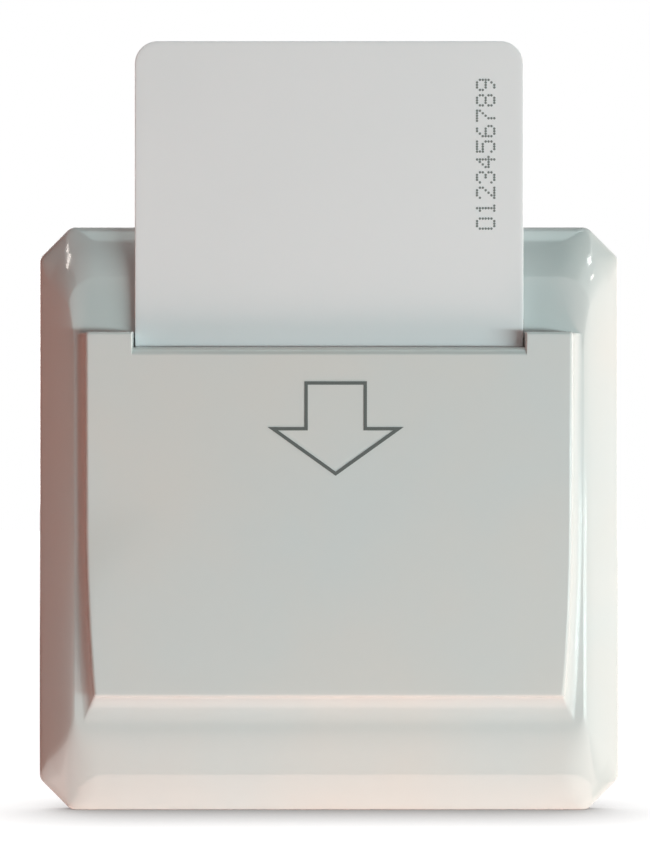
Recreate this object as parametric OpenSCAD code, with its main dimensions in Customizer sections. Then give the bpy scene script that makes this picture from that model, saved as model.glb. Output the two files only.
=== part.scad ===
// Hotel key card switch: a wall plate whose slot takes a key card and switches the room's power on.
// The frame is +X to the right, +Z up and +Y into the wall. The wall's surface is the plane Y = 0, and
// the origin lies midway between the two fixing screws.
// The pieces are drawn lying on their back (x right, y up the wall, z out of the wall), and on_wall()
// stands them up.

/* [Key card] */
// Card width
card_w = 53.98; // [50:0.01:58]
// Card length
card_h = 85.6; // [80:0.1:92]
// Card thickness
card_t = 0.76; // [0.6:0.01:1]
// Corner radius of the card
card_r = 3.18; // [2:0.01:5]
// Length of card held below the lip of the slot
card_depth = 43.1; // [40:0.1:48]
// Clearance under the card
card_rest = 0.05; // [0.02:0.01:0.1]

/* [Card pocket] */
// Side clearance of the card
card_play = 0.4; // [0.2:0.05:0.8]
// Depth of the pocket, front to back
pocket_gap = 1.5; // [1.2:0.05:2]
// Height of the slot's lip above the fixing screws
lip_y = 24; // [20:0.1:28]
// Width of the side rails
rail_w = 3.6; // [3:0.1:5]
// Height of the stop under the card
stop_h = 3.2; // [2:0.1:5]
// Thickness of the guide's back wall
guide_t = 1.8; // [1.4:0.1:2.4]
// Room between the base plate and the guide
guide_lift = 2.9; // [2.6:0.1:4]
// Clearance between the guide and the front cover
guide_fit = 0.3; // [0.2:0.05:0.5]
// Length of the lead-in at the mouth of the guide
mouth_l = 1.5; // [1:0.1:3]
// Depth of the lead-in at the mouth of the guide
mouth_depth = 0.7; // [0.4:0.1:1]
// Distance from the fixing screws to the guide's bosses, up the wall
boss_y = 19.5; // [16:0.1:20]
// Radius of the guide's bosses
boss_r = 2.5; // [2:0.1:2.6]

/* [Raised panel] */
// Thickness of the panel over the pocket at its top edge
panel_lip_t = 2.5; // [1.5:0.1:4]
// Thickness of the panel over the pocket at its bottom edge
panel_foot_t = 1.3; // [1:0.1:2.5]
// Thickness of the panel's side walls
panel_wall = 2.31; // [1.5:0.01:4]
// Thickness of the panel's bottom wall
panel_sill = 1.8; // [1.2:0.1:3]
// Thickness of the panel's top wall beside the slot
mouth_wall = 0.9; // [0.6:0.1:1.5]
// Outward run of the drafted side walls
panel_draft = 1.8; // [1:0.1:3]
// Outward run of the hollow fillet under the bottom edge
panel_fillet = 4.1; // [2:0.1:6]
// Inward curve of the sides at the bottom
panel_bow = 1; // [0:0.1:2]
// Radius of the panel's front edges
panel_edge_r = 0.5; // [0.3:0.05:1]
// Depth of the notch for the card in the panel's top edge
notch_depth = 2.1; // [1.5:0.1:4]
// Clearance of the notch beside the card
notch_play = 0.6; // [0.5:0.05:1.2]

/* [Frame] */
// Width of the side bevels
side_border = 5.6; // [4.5:0.1:9]
// Width of the top slope above the panel
top_border = 15.15; // [10:0.05:20]
// Width of the steep bevel at the top, down to the crease
top_bevel = 7.4; // [5:0.1:9]
// Width of the bottom bevel
bottom_border = 12; // [8:0.1:16]
// Width of the flat valley between the bottom bevel and the panel
valley_w = 0.75; // [0.3:0.05:3]
// Reach of the top slope behind the panel
deck_tuck = 1.85; // [1:0.05:4]
// Height of the upright rim at the wall
rim_h = 2.2; // [1.5:0.1:3]
// Wall thickness of the cover
cover_wall = 2; // [1.6:0.1:2.4]
// Corner cut of the rim
corner_cut = 4.4; // [3:0.1:8]
// Corner cut of the deck
deck_corner_cut = 1.5; // [1:0.1:3]
// Corner radius as a share of the corner cut
corner_round = 1.2; // [0.5:0.1:1.6]
// Share of straight slope in the side bevels
side_straight = 0.35; // [0:0.05:1]
// Step from the back of the pocket down to the deck
deck_drop = 0.2; // [0.1:0.05:0.5]

/* [Arrow] */
// Width of the arrow's head
arrow_head_w = 17.3; // [12:0.1:22]
// Height of the arrow's head
arrow_head_h = 6.2; // [4:0.1:9]
// Width of the arrow's shaft
arrow_shaft_w = 8.15; // [5:0.05:11]
// Height of the arrow's shaft
arrow_shaft_h = 6.3; // [4:0.1:9]
// Width of the printed line
arrow_line = 0.47; // [0.3:0.01:0.8]
// Thickness of the ink
ink_t = 0.05; // [0.03:0.01:0.1]
// Distance from the slot's lip to the top of the arrow
arrow_drop = 5; // [3:0.1:9]
// Sideways place of the arrow
arrow_x = 0.9; // [-2:0.1:2]

/* [Base plate] */
// Thickness of the base plate
base_t = 2.5; // [2.2:0.1:3]
// Gap between the base plate's front edge and the cover
base_gap = 0.4; // [0.2:0.1:1]
// Depth of the recess that the rear housing sits in
seat_depth = 0.6; // [0.4:0.1:1]
// Gap between the recess and the rear housing
seat_gap = 0.4; // [0.2:0.1:0.6]
// Distance between the fixing screws
screw_spacing = 60.3; // [59:0.1:61]
// Diameter of the fixing screws
fixing_d = 3.5; // [3:0.1:4]
// Length of the fixing screws behind the wall's surface
fixing_l = 20; // [12:1:40]
// Width of the fixing slots
slot_w = 4.2; // [4.1:0.1:5]
// Length of the fixing slots
slot_l = 6.6; // [5.5:0.1:7]
// Length of the snap hooks
hook_l = 10; // [6:0.5:14]
// Height of the snap hooks
hook_h = 0.8; // [0.5:0.05:1]
// Reach of the snap hooks under the base plate
hook_reach = 0.8; // [0.4:0.1:1.2]
// Distance from the fixing screws to the snap hooks, up the wall
hook_y = 18; // [12:0.5:22]
// Clearance of the hooks, rails and pins
fit = 0.15; // [0.1:0.01:0.2]
// Clearance of a screw in its pilot hole and a pin in its seat
grip = 0.03; // [0.02:0.01:0.05]

/* [Lever] */
// Distance from the pivot to the nose
lever_arm = 17; // [15:0.1:19]
// Distance from the pivot to the switch pad
pad_arm = 11.8; // [10.5:0.1:13]
// Height of the nose above the bottom of the pocket
nose_up = 4.1; // [3.6:0.1:6]
// Length of the nose along the lever, below its tip
nose_below = 2.2; // [1.6:0.1:2.4]
// Length of the nose along the lever, above its tip
nose_above = 3.2; // [2.4:0.1:3.6]
// Radius of the nose's tip
nose_r = 1; // [0.6:0.1:1.4]
// Width of the lever
lever_w = 6.6; // [6:0.1:7]
// Thickness of the lever's bar
lever_t = 1.8; // [1.4:0.1:2]
// Height of the pad that presses the switch
pad_h = 0.35; // [0.2:0.05:0.5]
// Gap between the nose and the card
nose_gap = 0.27; // [0.2:0.01:0.4]
// Distance of the pivot behind the guide
pivot_drop = 2.4; // [2.3:0.1:2.8]
// Radius of the lever's hub
hub_r = 1.7; // [1.4:0.1:2]
// Diameter of the pivot pin
pin_d = 1.6; // [1.2:0.1:2]
// Thickness of the ears that hold the pin
ear_t = 1.5; // [1.2:0.1:1.6]
// Gap between the lever and the ears
lever_play = 0.3; // [0.2:0.05:0.4]
// Height of the ears above the pivot
ear_up = 4.6; // [4:0.1:6]

/* [Lever spring] */
// Wire diameter
wire_d = 0.5; // [0.4:0.05:0.55]
// Radius of the turns at the middle of the wire
turn_r = 1.95; // [1.8:0.05:2]
// Distance from turn to turn
turn_pitch = 1.05; // [1:0.05:1.2]
// Number of turns
turns = 2; // [1:1:2]

/* [Microswitch] */
// Length of the case
switch_l = 12.8; // [11:0.1:14]
// Width of the case
switch_w = 5.8; // [5:0.1:7]
// Height of the case
switch_h = 6.5; // [5:0.1:8]
// Distance between the pins
switch_pin_pitch = 5.1; // [4:0.1:5.3]
// Length of the plunger
plunger_l = 2.8; // [2:0.1:4]
// Width of the plunger
plunger_w = 1.2; // [0.8:0.1:2]
// Height of the pressed plunger above the case
plunger_up = 0.45; // [0.3:0.05:0.8]
// Depth of the plunger inside the case
plunger_in = 1.4; // [1.2:0.1:2]
// Gap between the plunger and the lever's pad
pad_gap = 0.1; // [0.05:0.01:0.2]

/* [Rear housing] */
// Width and height of the housing
housing_w = 49.6; // [48:0.1:50]
// Wall thickness
housing_wall = 1.8; // [1.4:0.1:2.2]
// Corner cut
housing_cut = 3; // [2:0.1:5]
// Room behind the tallest part on the board
housing_room = 1; // [0.5:0.1:4]
// Radius of the screw posts
post_r = 2.8; // [2.4:0.1:3]
// Depth to which a screw post runs into the walls
post_sink = 0.2; // [0.1:0.05:0.4]
// Depth of the screw posts' bores
post_bore_l = 9; // [6:0.5:12]

/* [Circuit board] */
// Thickness of the board
board_t = 1.6; // [1:0.1:2]
// Gap between the board and the housing
board_gap = 0.8; // [0.4:0.1:1.2]
// Distance from the board's edge to its screws
board_screw_edge = 3.2; // [2.8:0.1:4]
// Height of the board screws above the fixing screws
board_screw_y = 4; // [3:0.1:5]

/* [Parts on the board] */
// Length of the relay
relay_l = 29; // [24:0.1:32]
// Width of the relay
relay_w = 12.7; // [10:0.1:13]
// Height of the relay
relay_h = 15.7; // [12:0.1:20]
// Distance between the relay's pin rows
relay_rows = 7.6; // [6:0.1:9]
// Distance between the relay's outer pins
relay_outer = 24.4; // [20:0.1:25]
// Distance between the relay's inner pins
relay_inner = 11.6; // [8:0.1:14]
// Length of the film capacitor
film_l = 13; // [11:0.1:16]
// Width of the film capacitor
film_w = 6; // [5:0.1:8]
// Height of the film capacitor
film_h = 12; // [9:0.1:15]
// Distance between the film capacitor's leads
film_pitch = 10; // [7.5:0.1:10.5]
// Diameter of the smoothing capacitor
can_d = 6.3; // [5:0.1:8]
// Height of the smoothing capacitor
can_h = 11; // [9:0.1:15]
// Distance between the smoothing capacitor's leads
can_pitch = 2.5; // [2:0.1:3.5]
// Diameter of the diodes
diode_d = 2.7; // [2:0.1:3]
// Length of the diodes
diode_l = 4.6; // [4:0.1:5]
// Diameter of the resistor
resistor_d = 2.5; // [2:0.1:3.6]
// Length of the resistor
resistor_l = 6.5; // [5:0.1:8]
// Length of the timer chip
chip_l = 4.9; // [4.6:0.1:6]
// Width of the timer chip
chip_w = 3.9; // [3:0.1:5]
// Height of the timer chip
chip_h = 1.5; // [1:0.1:2]
// Distance between the timer chip's leads
chip_pitch = 1.2; // [0.8:0.05:1.3]
// Reach of the timer chip's leads
chip_reach = 1.2; // [0.9:0.1:1.6]
// Diameter of the transistor
transistor_d = 4.6; // [4:0.1:5]
// Height of the transistor
transistor_h = 4.4; // [3:0.1:4.6]
// Distance from the middle of the transistor to its flat
transistor_flat = 1.4; // [1:0.1:1.8]
// Diameter of the leads
lead_d = 0.7; // [0.5:0.05:0.8]
// Length of the leads past the board
lead_end = 0.9; // [0.5:0.1:1.2]
// Length of an axial lead before its bend
lead_bend = 0.6; // [0.4:0.1:0.8]
// Gap between neighbouring parts
part_gap = 0.4; // [0.3:0.05:0.5]

/* [Terminals] */
// Distance between the poles
pole_pitch = 6.35; // [6:0.05:7.5]
// Depth of the terminal blocks
terminal_d = 10.7; // [10:0.1:11]
// Height of the terminal blocks
terminal_h = 13; // [12:0.1:15]
// Wall of the terminal blocks
terminal_wall = 0.9; // [0.7:0.05:1.1]
// Thickness of the terminal blocks' face
terminal_face = 2; // [1.5:0.1:2.5]
// Gap between the two terminal blocks
terminal_gap = 4; // [3.6:0.1:4.2]
// Distance from the terminal blocks to the housing's bottom wall
terminal_margin = 1.65; // [1:0.05:2]
// Depth of the terminals' face below the housing's back
terminal_recess = 0.4; // [0.2:0.1:1]
// Width of the wire entries
entry_w = 3.6; // [3:0.1:3.8]
// Height of the wire entries
entry_h = 3.8; // [3:0.1:3.9]
// Distance of the wire entries below the middle of the block
entry_drop = 2.1; // [2:0.05:2.3]
// Height of the brass clamps
cage_h = 6; // [5:0.1:7]
// Thickness of the brass clamps' closed end
cage_end = 1.2; // [0.9:0.1:1.6]
// Depth of a pin's seat in its brass clamp
pin_seat = 0.6; // [0.3:0.1:0.8]
// Diameter of the terminal screws
terminal_screw_d = 3; // [2.5:0.1:3.2]
// Diameter of the terminal screws' heads
terminal_head_d = 3.8; // [3.4:0.1:3.9]
// Length of the terminal screws in the clamps
terminal_screw_l = 4.5; // [3:0.1:4.7]
// Distance of the terminal screws above the middle of the block
screw_rise = 2.4; // [2.2:0.05:2.5]

/* [Hidden] */
$fn = 48;

// Overshoot of a cut, and how far a rib or hook runs into the wall that carries it
cut = 1;
sink = 0.5;
// Steps of the frame's bevel, of its inside, of the panel's walls and of each rounded corner
frame_steps = 12;
inside_steps = 6;
wall_step = 15;
side_steps = 6;
arc_steps = 4;

// Heights out of the wall, from the base plate to the panel
guide_z = base_t + guide_lift;
pocket_z = guide_z + guide_t;
panel_back_z = pocket_z + pocket_gap;
rail_z = panel_back_z - fit;
card_z = pocket_z + (pocket_gap - card_t) / 2;
deck_z = pocket_z - deck_drop;
panel_top_z = panel_back_z + panel_lip_t;
panel_bottom_z = panel_back_z + panel_foot_t;

// Places up the wall
card_y = lip_y - card_depth;
guide_y = card_y - stop_h;
panel_top = lip_y + notch_depth;
guide_top = panel_top - mouth_wall - guide_fit;
panel_bottom = guide_y - guide_fit - panel_sill;
panel_mid = (panel_top + panel_bottom) / 2;
panel_slope = (panel_top_z - panel_bottom_z) / (panel_top - panel_bottom);
plate_top = panel_top + top_border;
plate_bottom = panel_bottom - panel_fillet - valley_w - bottom_border;

// Widths
pocket_w = card_w + 2 * card_play;
guide_w = pocket_w + 2 * rail_w;
cavity_w = guide_w + 2 * guide_fit;
panel_w = cavity_w + 2 * panel_wall;
plate_w = panel_w + 2 * panel_draft + 2 * side_border;
boss_x = guide_w / 2 - boss_r;

// The lever and its pivot
nose_y = card_y + nose_up;
nose_z = card_z - nose_gap;
nose_low = nose_y - nose_below;
nose_high = nose_y + nose_above;
pivot_y = nose_y + lever_arm;
pivot_z = guide_z - pivot_drop;
pad_y = pivot_y - pad_arm;
bar_z = pivot_z - lever_t / 3;
bar_front = bar_z + lever_t;
pad_z = bar_z - pad_h;
spring_z = pivot_z - turn_r;
spring_bay = 2 * wire_d + turns * turn_pitch;
ear_x = lever_w / 2 + lever_play;
hub_x = ear_x - spring_bay;
bar_top = pivot_y - turn_r - wire_d;
rest_y = pivot_y + turn_r + 2 * wire_d;

// The microswitch and the board, each carried by the one before
plunger_z = pad_z - pad_gap;
switch_z = plunger_z - plunger_up;
board_z = switch_z - switch_h;
board_back = board_z - board_t;
board_w = housing_w - 2 * housing_wall - 2 * board_gap;
post_at = housing_w / 2 - housing_wall - post_r + post_sink;
board_notch = board_w / 2 - post_at + post_r + board_gap;
board_screw_x = board_w / 2 - board_screw_edge;

// The rear housing: a deep half behind the relay, and a step for the terminals
terminal_back = board_back - terminal_h;
step_z = terminal_back - terminal_recess;
back_z = board_back - max(relay_h, film_h, can_h) - housing_room - housing_wall;
terminal_l = 2 * pole_pitch;
terminal_x = (terminal_l + terminal_gap) / 2;
terminal_y = terminal_d / 2 + terminal_margin + housing_wall - housing_w / 2;
step_y = terminal_y + terminal_d / 2 + board_gap;
deep_y = step_y + housing_wall;

// Screws
small_head_r = 2.2;
small_head_h = 1.6;
housing_screw_r = 1.3;
board_screw_r = 1.1;
board_screw_l = 3.9;
guide_screw_r = 1.1;
guide_head_r = 2.2;
fixing_head_r = 3.2;
fixing_head_h = 1.9;
fixing_neck_r = 1.4;

// Places on the board: the capacitors stand above the terminals, the relay at the top, and the row of
// diodes midway between them. The chip lies between the film capacitor's leads.
relay_margin = 1.9;
film_off = 2.4;
can_off = 4.4;
resistor_off = 2;
relay_y = board_w / 2 - relay_margin - relay_w / 2;
film_at = [-film_l / 2 - film_off, deep_y + part_gap + film_w / 2];
can_at = [can_d / 2 + can_off, deep_y + part_gap + can_d / 2];
diode_y = (deep_y + part_gap + max(film_w, can_d) + relay_y - relay_w / 2) / 2;
diode_span = diode_l + 2 * lead_bend;
diode_pitch = diode_span + lead_d + part_gap;
terminal_top = terminal_y + terminal_d / 2;
resistor_span = resistor_l + 2 * lead_bend;
resistor_at = [board_screw_x - resistor_off, terminal_top + part_gap + (resistor_span + lead_d) / 2];
transistor_pitch = 1.27;
transistor_at = [board_w / 4, terminal_top + part_gap + lead_d];
chip_lift = 0.15;
chip_lead_w = 0.4;
chip_at = [film_at.x, pad_y];

// Places of the leads that go through the board
switch_pin_at = [for (i = [-1, 0, 1]) [0, pad_y + i * switch_pin_pitch]];
relay_pin_at = [
    for (sx = [-1, 1])
        for (p = [[relay_outer, -relay_rows], [relay_outer, relay_rows], [relay_inner, relay_rows]])
            [sx * p.x / 2, relay_y + p.y / 2]
];
film_lead_at = [for (s = [-1, 1]) film_at + [s * film_pitch / 2, 0]];
can_lead_at = [for (s = [-1, 1]) can_at + [s * can_pitch / 2, 0]];
diode_at = [for (i = [-1.5, -0.5, 0.5, 1.5]) [i * diode_pitch, diode_y]];
diode_lead_at = [for (p = diode_at) for (s = [-1, 1]) p + [s * diode_span / 2, 0]];
resistor_lead_at = [for (s = [-1, 1]) resistor_at + [0, s * resistor_span / 2]];
transistor_lead_at = [for (i = [-1, 0, 1]) transistor_at + [i * transistor_pitch, 0]];
pole_at = [for (sx = [-1, 1]) for (s = [-1, 1]) [sx * terminal_x + s * pole_pitch / 2, terminal_y]];

// The brass clamps
cage_w = pole_pitch - 2 * terminal_wall - 2 * grip;
cage_d = terminal_d - 2 * terminal_wall - 2 * grip;
cage_z = terminal_back + terminal_face + grip;

// Spring path: a leg behind the lever, the turns round the pin, and a leg behind the guide's cross rib
spring_x = hub_x + wire_d;
leg_a = [spring_x, bar_top - 3 * wire_d, bar_z - wire_d / 2 - grip];
leg_b = [spring_x + turns * turn_pitch, rest_y + 2 * wire_d, spring_z];
turn_rings = 8;
spring_turns = [
    for (i = [0:turns * turn_rings])
        let (angle = i * 360 / turn_rings - 90, x = spring_x + turn_pitch * i / turn_rings)
        [x, pivot_y + turn_r * cos(angle), pivot_z + turn_r * sin(angle)]
];
spring_path = concat([leg_a], spring_turns, [leg_b]);
spring_gap = min([
    for (i = [0:len(spring_path) - 1])
        for (j = [i + turn_rings / 2:1:len(spring_path) - 1])
            norm(spring_path[i] - spring_path[j])
]) - wire_d;
echo(spring_gap = spring_gap);

function mix(a, b, t) = a + (b - a) * t;
function unit(v) = v / norm(v);
function raise(outline, z) = [for (p = outline) [p.x, p.y, z]];
function flip(outline) = [for (i = [len(outline) - 1:-1:0]) [-outline[i].x, outline[i].y]];

// Points of an arc
function arc(centre, r, first, sweep) = [
    for (j = [0:arc_steps])
        let (angle = first + sweep * j / arc_steps)
        centre + r * [cos(angle), sin(angle)]
];

// A convex outline, anticlockwise, with each corner turned into an arc of radius r
function rounded(outline, r) =
    let (n = len(outline))
    [for (i = [0:n - 1])
        let (
            p = outline[i],
            back = unit(outline[(i + n - 1) % n] - p),
            ahead = unit(outline[(i + 1) % n] - p),
            half = acos(back * ahead) / 2,
            centre = p + unit(back + ahead) * r / sin(half),
            start = p + back * r / tan(half) - centre
        )
        each arc(centre, r, atan2(start.y, start.x), 180 - 2 * half)
    ];

// A rectangle from x0, y0 to x1, y1 with its corners cut
function cut_box(x0, y0, x1, y1, c) = [
    [x1, y0 + c], [x1, y1 - c], [x1 - c, y1], [x0 + c, y1],
    [x0, y1 - c], [x0, y0 + c], [x0 + c, y0], [x1 - c, y0]
];

// The frame's bevel: t runs from the rim to the deck, and the top has a soft crease at crease_share
crease_share = 2 / 3;
function bulge(t) = 1 - (1 - t) * (1 - t);
function frame_z(t) = mix(rim_h, deck_z, bulge(t));
function top_run(t) = t < crease_share
    ? top_bevel * t / crease_share
    : mix(top_bevel, top_border + deck_tuck, (t - crease_share) / (1 - crease_share));
function frame_outline(t, inset) =
    let (
        x = plate_w / 2 - inset - side_border * mix(bulge(t), t, side_straight),
        y0 = plate_bottom + inset + bottom_border * t,
        y1 = plate_top - inset - top_run(t),
        c = mix(corner_cut, deck_corner_cut, t)
    )
    rounded(cut_box(-x, y0, x, y1, c), corner_round * c);

// The base plate fills the frame's inside at the height of the plate's front face
base_share = 1 - sqrt(1 - (base_t + cover_wall - rim_h) / (deck_z - rim_h));
base_outline = frame_outline(base_share, cover_wall + base_gap);
base_x = max([for (p = base_outline) p.x]);

// The panel: one ring of its walls, spread by side and down by foot, and the height of its face
function face_z(y) = panel_bottom_z + (y - panel_bottom) * panel_slope;
function panel_side(side, foot, top) = concat(
    [for (i = [0:side_steps])
        let (u = i / side_steps)
        [panel_w / 2 - panel_bow * (1 - u) * (1 - u) + side, mix(panel_bottom - foot, panel_mid, u)]],
    [[panel_w / 2 + side, panel_top + top]]
);
function panel_outline(side, foot, top) =
    let (right = panel_side(side, foot, top))
    concat(right, flip(right));

// A closed skin over rings of equal length, listed from the lowest up
module skin(rings) {
    n = len(rings[0]);
    m = len(rings);
    sides = [
        for (i = [0:m - 2])
            for (j = [0:n - 1])
                let (a = i * n + j, b = i * n + (j + 1) % n)
                each [[a, a + n, b], [b, a + n, b + n]]
    ];
    floor_face = [for (j = [0:n - 1]) j];
    top_face = [for (j = [n - 1:-1:0]) (m - 1) * n + j];
    polyhedron([for (r = rings) each r], concat([floor_face], sides, [top_face]), convexity = 6);
}

// A tube along points, for a wire whose bends lie across the X axis
function wire_ring(points, i, r) =
    let (
        ahead = unit(points[min(i + 1, len(points) - 1)] - points[max(i - 1, 0)]),
        side = unit(cross(ahead, [1, 0, 0])),
        over = cross(ahead, side)
    )
    [for (k = [0:5]) points[i] + r * (side * cos(60 * k) + over * sin(60 * k))];

module on_wall() {
    rotate([90, 0, 0])
        children();
}

// Extrudes an outline drawn in y and z, from x0 to x1
module along_x(x0, x1) {
    translate([x0, 0, 0])
        rotate([90, 0, 90])
            linear_extrude(x1 - x0)
                children();
}

// A box centred on x and y, from z0 up to z1
module block(at, size, z0, z1) {
    translate([at.x - size.x / 2, at.y - size.y / 2, z0])
        cube([size.x, size.y, z1 - z0]);
}

module rod(at, r, z0, z1) {
    translate([at.x, at.y, z0])
        cylinder(h = z1 - z0, r = r);
}

module at_corners(x, y) {
    for (sx = [-1, 1])
        for (sy = [-1, 1])
            translate([sx * x, sy * y, 0])
                children();
}

// A pan-head screw with a driver slot: its head's underside is at z = 0 and its shank runs to -l
module pan_screw(head_r, head_h, shank_r, l) {
    difference() {
        union() {
            cylinder(h = head_h, r = head_r);
            rod([0, 0], shank_r, -l, 0);
        }
        block([0, 0], [2 * head_r + cut, head_r / 3], head_h / 2, head_h + cut);
    }
}

// An axial part on the back of the board: a barrel with two bent leads
module axial_part(d, l, span) {
    lift = board_back - d / 2 - part_gap;
    translate([0, 0, lift]) {
        rotate([0, 90, 0])
            cylinder(h = l, d = d, center = true);
        rotate([0, 90, 0])
            cylinder(h = span, d = lead_d, center = true);
    }
    for (s = [-1, 1]) {
        translate([s * span / 2, 0, lift])
            sphere(d = lead_d);
        rod([s * span / 2, 0], lead_d / 2, lift, board_z + lead_end);
    }
}

module front_cover() {
    color("white")
        on_wall() {
            difference() {
                union() {
                    frame_shape();
                    panel_shape();
                }
                frame_inside();
                card_room();
            }
            cover_ribs();
            cover_hooks();
        }
}

module frame_shape() {
    rim = raise(frame_outline(0, 0), 0);
    bevel = [
        for (i = [0:frame_steps])
            let (t = i / frame_steps)
            raise(frame_outline(t, 0), frame_z(t))
    ];
    skin(concat([rim], bevel));
}

module frame_inside() {
    rim = raise(frame_outline(0, cover_wall), -cut);
    bevel = [
        for (i = [0:inside_steps])
            let (t = i / inside_steps)
            raise(frame_outline(t, cover_wall), frame_z(t) - cover_wall)
    ];
    skin(concat([rim], bevel));
}

// The panel's foot stands in the deck, its walls rise in a hollow fillet, and its front edges are round
module panel_shape() {
    foot = raise(panel_outline(panel_draft, panel_fillet, 0), deck_z - cover_wall / 2);
    walls = [
        for (angle = [0:wall_step:90])
            let (spread = 1 - sin(angle), rise = 1 - cos(angle))
            [for (p = panel_outline(panel_draft * spread, panel_fillet * spread, 0))
                [p.x, p.y, mix(deck_z, face_z(p.y) - panel_edge_r, rise)]]
    ];
    edges = [
        for (angle = [30:30:90])
            let (inset = panel_edge_r * (1 - cos(angle)))
            [for (p = panel_outline(-inset, -inset, -inset))
                [p.x, p.y, face_z(p.y) - panel_edge_r * (1 - sin(angle))]]
    ];
    skin(concat([foot], walls, edges));
}

// The hollow behind the panel, the mouth of the slot, and the notch that bares the card
module card_room() {
    room_y = guide_y - guide_fit;
    room_top = guide_top + guide_fit;
    notch_w = card_w + 2 * notch_play;
    translate([-cavity_w / 2, room_y, -cut])
        cube([cavity_w, room_top - room_y, panel_back_z + cut]);
    translate([-pocket_w / 2, room_top - sink, deck_z - deck_drop])
        cube([pocket_w, panel_top + cut - room_top + sink, panel_back_z - deck_z + deck_drop]);
    translate([-notch_w / 2, lip_y, panel_back_z - sink])
        cube([notch_w, notch_depth + cut, panel_lip_t + cut + sink]);
}

// Ribs that rest on the base plate
module cover_ribs() {
    rib = [panel_wall - guide_fit, hook_l / 2];
    for (sx = [-1, 1])
        for (sy = [-1, 1])
            block([sx * (cavity_w + panel_wall) / 2, sy * hook_y], rib, base_t, deck_z - cover_wall + sink);
}

// Hooks that snap under the base plate's edge
module cover_hooks() {
    inner = base_x - hook_reach;
    outer = plate_w / 2 - cover_wall + sink;
    for (sx = [-1, 1])
        for (sy = [-1, 1])
            block([sx * (inner + outer) / 2, sy * hook_y], [outer - inner, hook_l], fit, fit + hook_h);
}

module arrow_outline() {
    polygon([
        [-arrow_shaft_w / 2, 0], [-arrow_shaft_w / 2, -arrow_shaft_h],
        [-arrow_head_w / 2, -arrow_shaft_h], [0, -arrow_shaft_h - arrow_head_h],
        [arrow_head_w / 2, -arrow_shaft_h], [arrow_shaft_w / 2, -arrow_shaft_h],
        [arrow_shaft_w / 2, 0]
    ]);
}

module arrow_print() {
    arrow_y = lip_y - arrow_drop;
    color("dimgray")
        on_wall()
            translate([arrow_x, arrow_y, face_z(arrow_y)])
                rotate([atan(panel_slope), 0, 0])
                    linear_extrude(ink_t)
                        difference() {
                            offset(delta = arrow_line / 2)
                                arrow_outline();
                            offset(delta = -arrow_line / 2)
                                arrow_outline();
                        }
}

module key_card() {
    color("lightgray")
        on_wall()
            translate([0, card_y + card_rest, card_z])
                linear_extrude(card_t)
                    card_outline();
}

module card_outline() {
    translate([-card_w / 2, card_r])
        square([card_w, card_h - 2 * card_r]);
    translate([card_r - card_w / 2, 0])
        square([card_w - 2 * card_r, card_h]);
    for (sx = [-1, 1])
        for (y = [card_r, card_h - card_r])
            translate([sx * (card_w / 2 - card_r), y])
                circle(card_r);
}

module card_guide() {
    guide_h = guide_top - guide_y;
    tool_r = fixing_head_r + guide_fit;
    color("gainsboro")
        on_wall()
            difference() {
                union() {
                    translate([-guide_w / 2, guide_y, guide_z])
                        cube([guide_w, guide_h, guide_t]);
                    guide_rails();
                    at_corners(boss_x, boss_y)
                        rod([0, 0], boss_r, base_t, guide_z + sink);
                    lever_ears();
                }
                guide_window();
                guide_mouth();
                at_corners(boss_x, boss_y)
                    rod([0, 0], guide_screw_r + grip, base_t - cut, pocket_z - sink);
                for (s = [-1, 1])
                    rod([s * screw_spacing / 2, 0], tool_r, guide_z - cut, rail_z + cut);
            }
}

module guide_rails() {
    rail = [rail_w, lip_y - guide_y];
    for (s = [-1, 1])
        block([s * (guide_w - rail_w) / 2, (guide_y + lip_y) / 2], rail, guide_z, rail_z);
    block([0, guide_y + stop_h / 2], [guide_w, stop_h], guide_z, rail_z);
}

// Ears for the pivot pin, and a cross rib between them that the spring's fixed leg pushes on
module lever_ears() {
    ear_low = pivot_y - hub_r - wire_d;
    difference() {
        union() {
            for (x = [-ear_x - ear_t, ear_x])
                along_x(x, x + ear_t)
                    translate([ear_low, pivot_z - hub_r])
                        square([pivot_y + ear_up - ear_low, guide_z + sink - pivot_z + hub_r]);
            along_x(-ear_x - sink, ear_x + sink)
                translate([rest_y, spring_z + wire_d / 2 + grip])
                    square([pivot_y + ear_up - rest_y, guide_z + sink - spring_z - wire_d / 2 - grip]);
        }
        along_x(-ear_x - ear_t - cut, ear_x + ear_t + cut)
            translate([pivot_y, pivot_z])
                circle(pin_d / 2 + grip);
    }
}

module guide_window() {
    room = 4 * fit;
    translate([-lever_w / 2 - lever_play, nose_low - room, guide_z - cut])
        cube([lever_w + 2 * lever_play, nose_high - nose_low + 2 * room, guide_t + 2 * cut]);
}

// A slope that leads the card into the pocket
module guide_mouth() {
    along_x(-pocket_w / 2, pocket_w / 2)
        polygon([
            [guide_top - mouth_l, pocket_z], [guide_top + cut, pocket_z - mouth_depth],
            [guide_top + cut, pocket_z + cut]
        ]);
}

module guide_screws() {
    color("silver")
        on_wall()
            at_corners(boss_x, boss_y)
                countersunk_screw(guide_head_r, guide_screw_r, base_t + guide_lift);
}

// A countersunk screw driven from behind: its head is just below z = 0
module countersunk_screw(head_r, r, l) {
    head_h = head_r - r;
    difference() {
        union() {
            translate([0, 0, fit])
                cylinder(h = head_h, r1 = head_r, r2 = r);
            rod([0, 0], r, fit, l);
        }
        block([0, 0], [2 * head_r + cut, r / 2], -cut, fit + head_h / 2);
    }
}

module lever() {
    half = lever_w / 2;
    color("ivory")
        on_wall()
            difference() {
                union() {
                    along_x(-half, hub_x)
                        lever_hub();
                    along_x(-half, half)
                        lever_bar();
                }
                along_x(-half - cut, half + cut)
                    translate([pivot_y, pivot_z])
                        circle(pin_d / 2 + 2 * grip);
            }
}

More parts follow.
